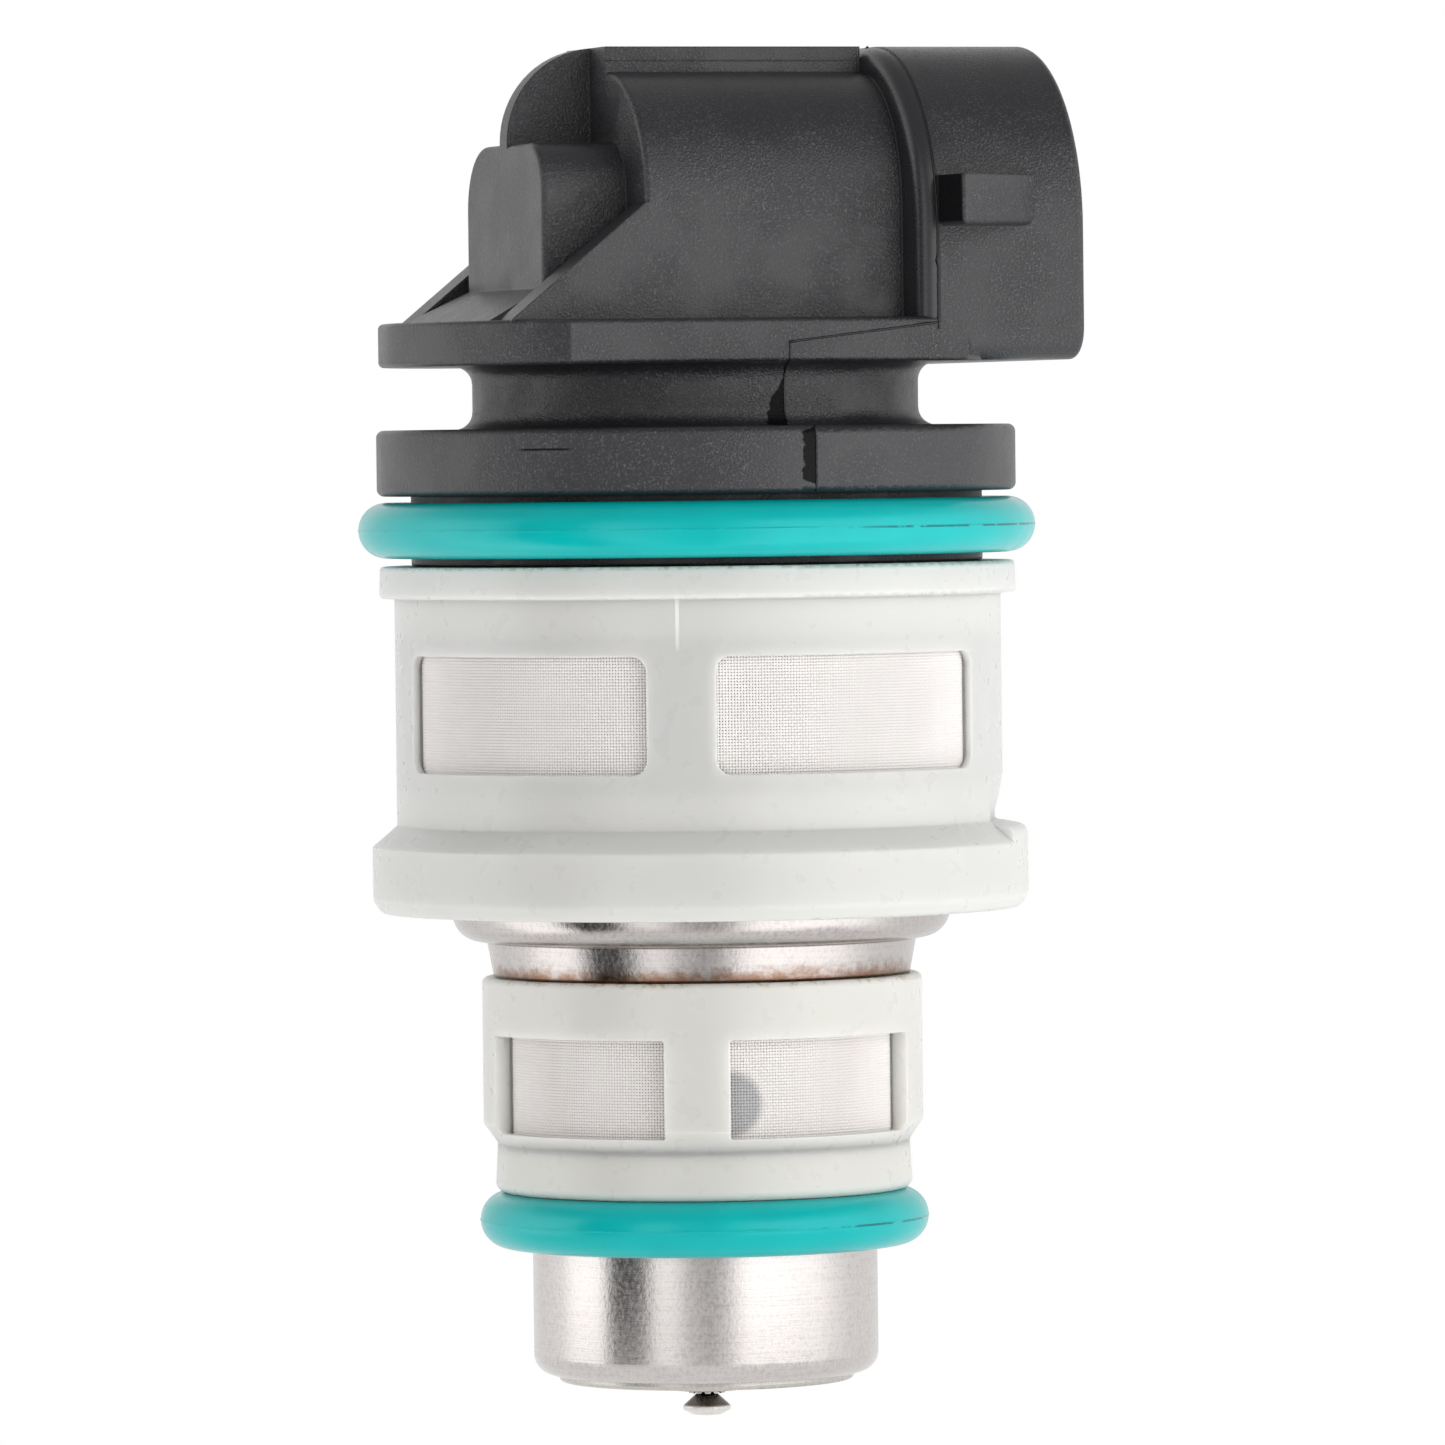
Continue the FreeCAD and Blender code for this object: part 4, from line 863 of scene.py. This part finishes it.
def rubber_ring(node_name, stretch):
    """O-ring, flat inside by its stretch, with a moulding ridge that is a little uneven on its way round."""
    lowest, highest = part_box(node_name)
    section_r = (highest.z - lowest.z) / 2 / MM
    middle_r = highest.x / MM - section_r
    middle_z = (highest.z + lowest.z) / 2 / MM
    seat_r = middle_r - section_r + stretch
    ridge_half = math.radians(RIDGE_HALF_DEG)
    spread = [ridge_half * share for share in (-1.6, -1.0, -0.4, 0.4, 1.0, 1.6)]
    rest = np.linspace(spread[-1], math.tau + spread[0], SECTION_POINTS)[1:-1]
    turns = spread + list(rest)

    def section(angle):
        row = []
        for turn in turns:
            bump = RIDGE if abs(turn) < ridge_half * 0.5 else 0.0
            bump *= 0.6 + 0.4 * math.sin(5 * angle) * math.sin(13 * angle + 1)
            reach = section_r + bump
            row.append((max(seat_r, middle_r + reach * math.cos(turn)), middle_z + reach * math.sin(turn)))
        return row

    ring = turned_ring(node_name + "_ring", "teal_rubber", section, RING_STEPS)
    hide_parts(node_name)
    return ring, middle_z


rings = [rubber_ring("upper_seal", UPPER_STRETCH), rubber_ring("lower_seal", LOWER_STRETCH)]
teal = Finish("teal_rubber", IOR=1.5)
teal.shader.inputs["Specular Tint"].default_value = (0.5, 1.0, 1.0, 1.0)
colour = ramp(teal.tree, teal.noise(0.4, detail=3.0), [(0.3, TEAL), (0.7, TEAL_PALE)])
broken = teal.between(teal.noise(0.9, detail=4.0, roughness=0.7), 0.44, 0.52, 0.0, 0.85)
# The moulding line is painted darker: a painted shade as of a crevice, strongest on the +x side.
line_shade_side = teal.between(teal.x, 1.5, 5.0, 0.12, 1.0)
upper_line, lower_line = [teal.within(teal.z, middle_z - LINE_HALF, middle_z + LINE_HALF, 0.03)
                          for ring, middle_z in rings]
on_line = teal.times(teal.sums("ADD", upper_line, lower_line), line_shade_side)
teal.set("Base Color", teal.mix(teal.times(on_line, broken), colour, LINE_SHADE))
teal.set("Roughness", teal.between(teal.noise(0.7, detail=3.0), 0.3, 0.7, 0.17, 0.26))
teal.bump(teal.noise(3.0, detail=4.0), 0.008)
for ring, middle_z in rings:
    ring.data.materials.append(teal.material)
print("moulding lines at", [round(middle_z, 2) for ring, middle_z in rings], "mm")

# %% [markdown]
# ## Steel
# The shell and the can are turned from stainless steel and then tumbled. The lathe leaves rings too
# fine to see one by one; what the eye gets is a reflection smeared up and down but crisp sideways,
# which is what an anisotropic shader does. Tumbling adds a frost of tiny dents, so the edges of the
# reflected panels break up into flecks. Rust-brown fuel lacquer has run down and dried on the
# collar's lower edge. The can, and the shell above the lower filter, are given a darker colour.

# %% Steel
WARM_STEEL = (0.63, 0.595, 0.58)
DARKENED_STEEL = (0.545, 0.51, 0.495)
SEAT_STEEL = (0.60, 0.57, 0.53)
LAPPED_STEEL = (0.78, 0.75, 0.72)
GROUND_STEEL = (0.60, 0.60, 0.60)
IRON = (0.48, 0.47, 0.46)
SPRING_WIRE = (0.50, 0.50, 0.50)
LACQUER = (0.20, 0.085, 0.030)
LACQUER_EDGE = (0.05, 0.028, 0.014)
VARNISH = (0.12, 0.10, 0.09)
DARKENING_SHARE = 0.86
RING_SHARE = 0.45
FLECK_SHARE = 0.65
TUMBLED_DENTS = 0.012
LAPPED_DENTS = 0.003
STAIN_HEIGHT = 0.95
VARNISH_FROM_TIP = 0.46


def turned_steel(name, tint, roughness, stain=None, dents=TUMBLED_DENTS, varnish_z=None):
    """Steel off a lathe, tumbled; stain is the (foot, top) of dried fuel, varnish lies above a height."""
    steel = Finish(name, Metallic=1.0, Anisotropic=0.7, Anisotropic_Rotation=0.25)
    direction = steel.node("Tangent", {"direction_type": "RADIAL", "axis": "Z"})
    steel.set("Tangent", direction.outputs["Tangent"])
    lathe_rings = steel.noise(0.6, detail=5.0, roughness=0.7, stretch=(0.3, 0.3, 30.0))
    flecks = steel.noise(5.5, detail=3.0, roughness=0.65, stretch=(1.0, 1.0, 0.7))
    steel.set("Roughness", steel.between(flecks, 0.3, 0.7, roughness - 0.05, roughness + 0.07))
    marks = steel.sums("MULTIPLY_ADD", lathe_rings, RING_SHARE, steel.times(flecks, FLECK_SHARE))
    shade = steel.between(marks, 0.40, 0.62, 0.82, 1.0)
    colour = steel.darker(tint, shade)
    if stain:
        foot, top = stain
        # Above the stain's foot, the shell is given a darker colour.
        colour = steel.darker(colour, steel.between(steel.z, foot - 0.1, foot, 1.0, DARKENING_SHARE))
        cloud = steel.noise(1.3, detail=5.0, roughness=0.65, stretch=(1.0, 1.0, 1.4))
        height = steel.sums("MULTIPLY_ADD", cloud, -1.6, steel.sums("ADD", steel.z, 0.8))
        amount = steel.times(steel.between(height, top, foot, 0.0, 0.85),
                             steel.between(steel.z, foot - 0.1, foot))
        colour = steel.mix(amount, colour, LACQUER)
        lip = steel.times(steel.within(steel.z, foot - 0.05, foot + 0.10, 0.06), 0.8)
        colour = steel.mix(lip, colour, LACQUER_EDGE)
    if varnish_z is not None:
        above = steel.between(steel.z, varnish_z - 0.03, varnish_z + 0.03, 0.0, 0.85)
        colour = steel.mix(above, colour, VARNISH)
    steel.set("Base Color", colour)
    steel.bump(marks, dents)
    return steel


collar_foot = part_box("lower_filter_frame")[1].z / MM
shell_stain = (collar_foot, collar_foot + STAIN_HEIGHT)
varnish_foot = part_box("needle")[0].z / MM + VARNISH_FROM_TIP
turned_steel("stainless_shell", WARM_STEEL, 0.21, stain=shell_stain).give("nozzle_shell")
turned_steel("stainless_can", DARKENED_STEEL, 0.20).give("solenoid_can")
turned_steel("seat_steel", SEAT_STEEL, 0.28).give("valve_seat_body")
turned_steel("polished_steel", LAPPED_STEEL, 0.12, dents=LAPPED_DENTS, varnish_z=varnish_foot).give("needle")
turned_steel("ground_steel", GROUND_STEEL, 0.25).give(
    "spring_adjuster", "armature_guide_ring", "spacer_sleeve", "lift_stop_plate")
turned_steel("magnetic_iron", IRON, 0.35).give("stator_core", "pole_plate", "armature")
turned_steel("spring_steel", SPRING_WIRE, 0.30).give("return_spring")
print("steel: stain from", round(shell_stain[0], 2), "to", round(shell_stain[1], 2), "mm")

# %% [markdown]
# ## The pieces inside
# Nobody sees the coil or its seals while the injector is whole, but the model can be taken apart,
# so each one gets its own simple finish: glassy brown enamel over copper with the turns as fine
# rings, a greenish glass-filled nylon for the bobbin, dull black rubber, and tin on the two blades,
# which do show in the socket. Tin is soft, so it is scratched along the way the plug slides.

# %% Inside pieces
WIRE_PER_MM = 4.5

copper = Finish("enamelled_copper", Metallic=0.85, Roughness=0.28, Coat_Weight=0.6)
turns_of_wire = copper.sums("SINE", copper.times(copper.z, WIRE_PER_MM * math.tau))
copper.set("Base Color", copper.mix(copper.noise(0.5, detail=3.0), (0.50, 0.19, 0.07), (0.62, 0.27, 0.10)))
copper.bump(turns_of_wire, 0.05)
copper.give("coil_winding")

bobbin = Finish("bobbin_nylon", Roughness=0.45)
fibre = bobbin.noise(3.0, detail=4.0, stretch=(1.0, 1.0, 3.0))
bobbin.set("Base Color", bobbin.mix(fibre, (0.28, 0.30, 0.26), (0.42, 0.42, 0.38)))
bobbin.bump(fibre, 0.02, softened_edge_mm=0.1)
bobbin.give("coil_bobbin")

seal_rubber = Finish("inner_seal_rubber")
bloom = seal_rubber.noise(2.0, detail=4.0)
seal_rubber.set("Base Color", seal_rubber.mix(bloom, (0.015, 0.015, 0.015), (0.045, 0.045, 0.045)))
seal_rubber.set("Roughness", seal_rubber.between(bloom, 0.3, 0.7, 0.45, 0.7))
seal_rubber.bump(bloom, 0.01)
seal_rubber.give("coil_seal_upper", "coil_seal_lower", "adjuster_seal")

tin = Finish("tinned_terminal", Metallic=1.0)
scratches = tin.noise(1.2, detail=4.0, roughness=0.7, stretch=(0.3, 12.0, 12.0))
tin.set("Base Color", tin.mix(tin.noise(1.5, detail=3.0), (0.60, 0.59, 0.56), (0.74, 0.72, 0.68)))
tin.set("Roughness", tin.between(scratches, 0.3, 0.7, 0.22, 0.42))
tin.bump(scratches, 0.006, softened_edge_mm=0.05)
tin.give("terminal_left", "terminal_right")
print("inside pieces finished")
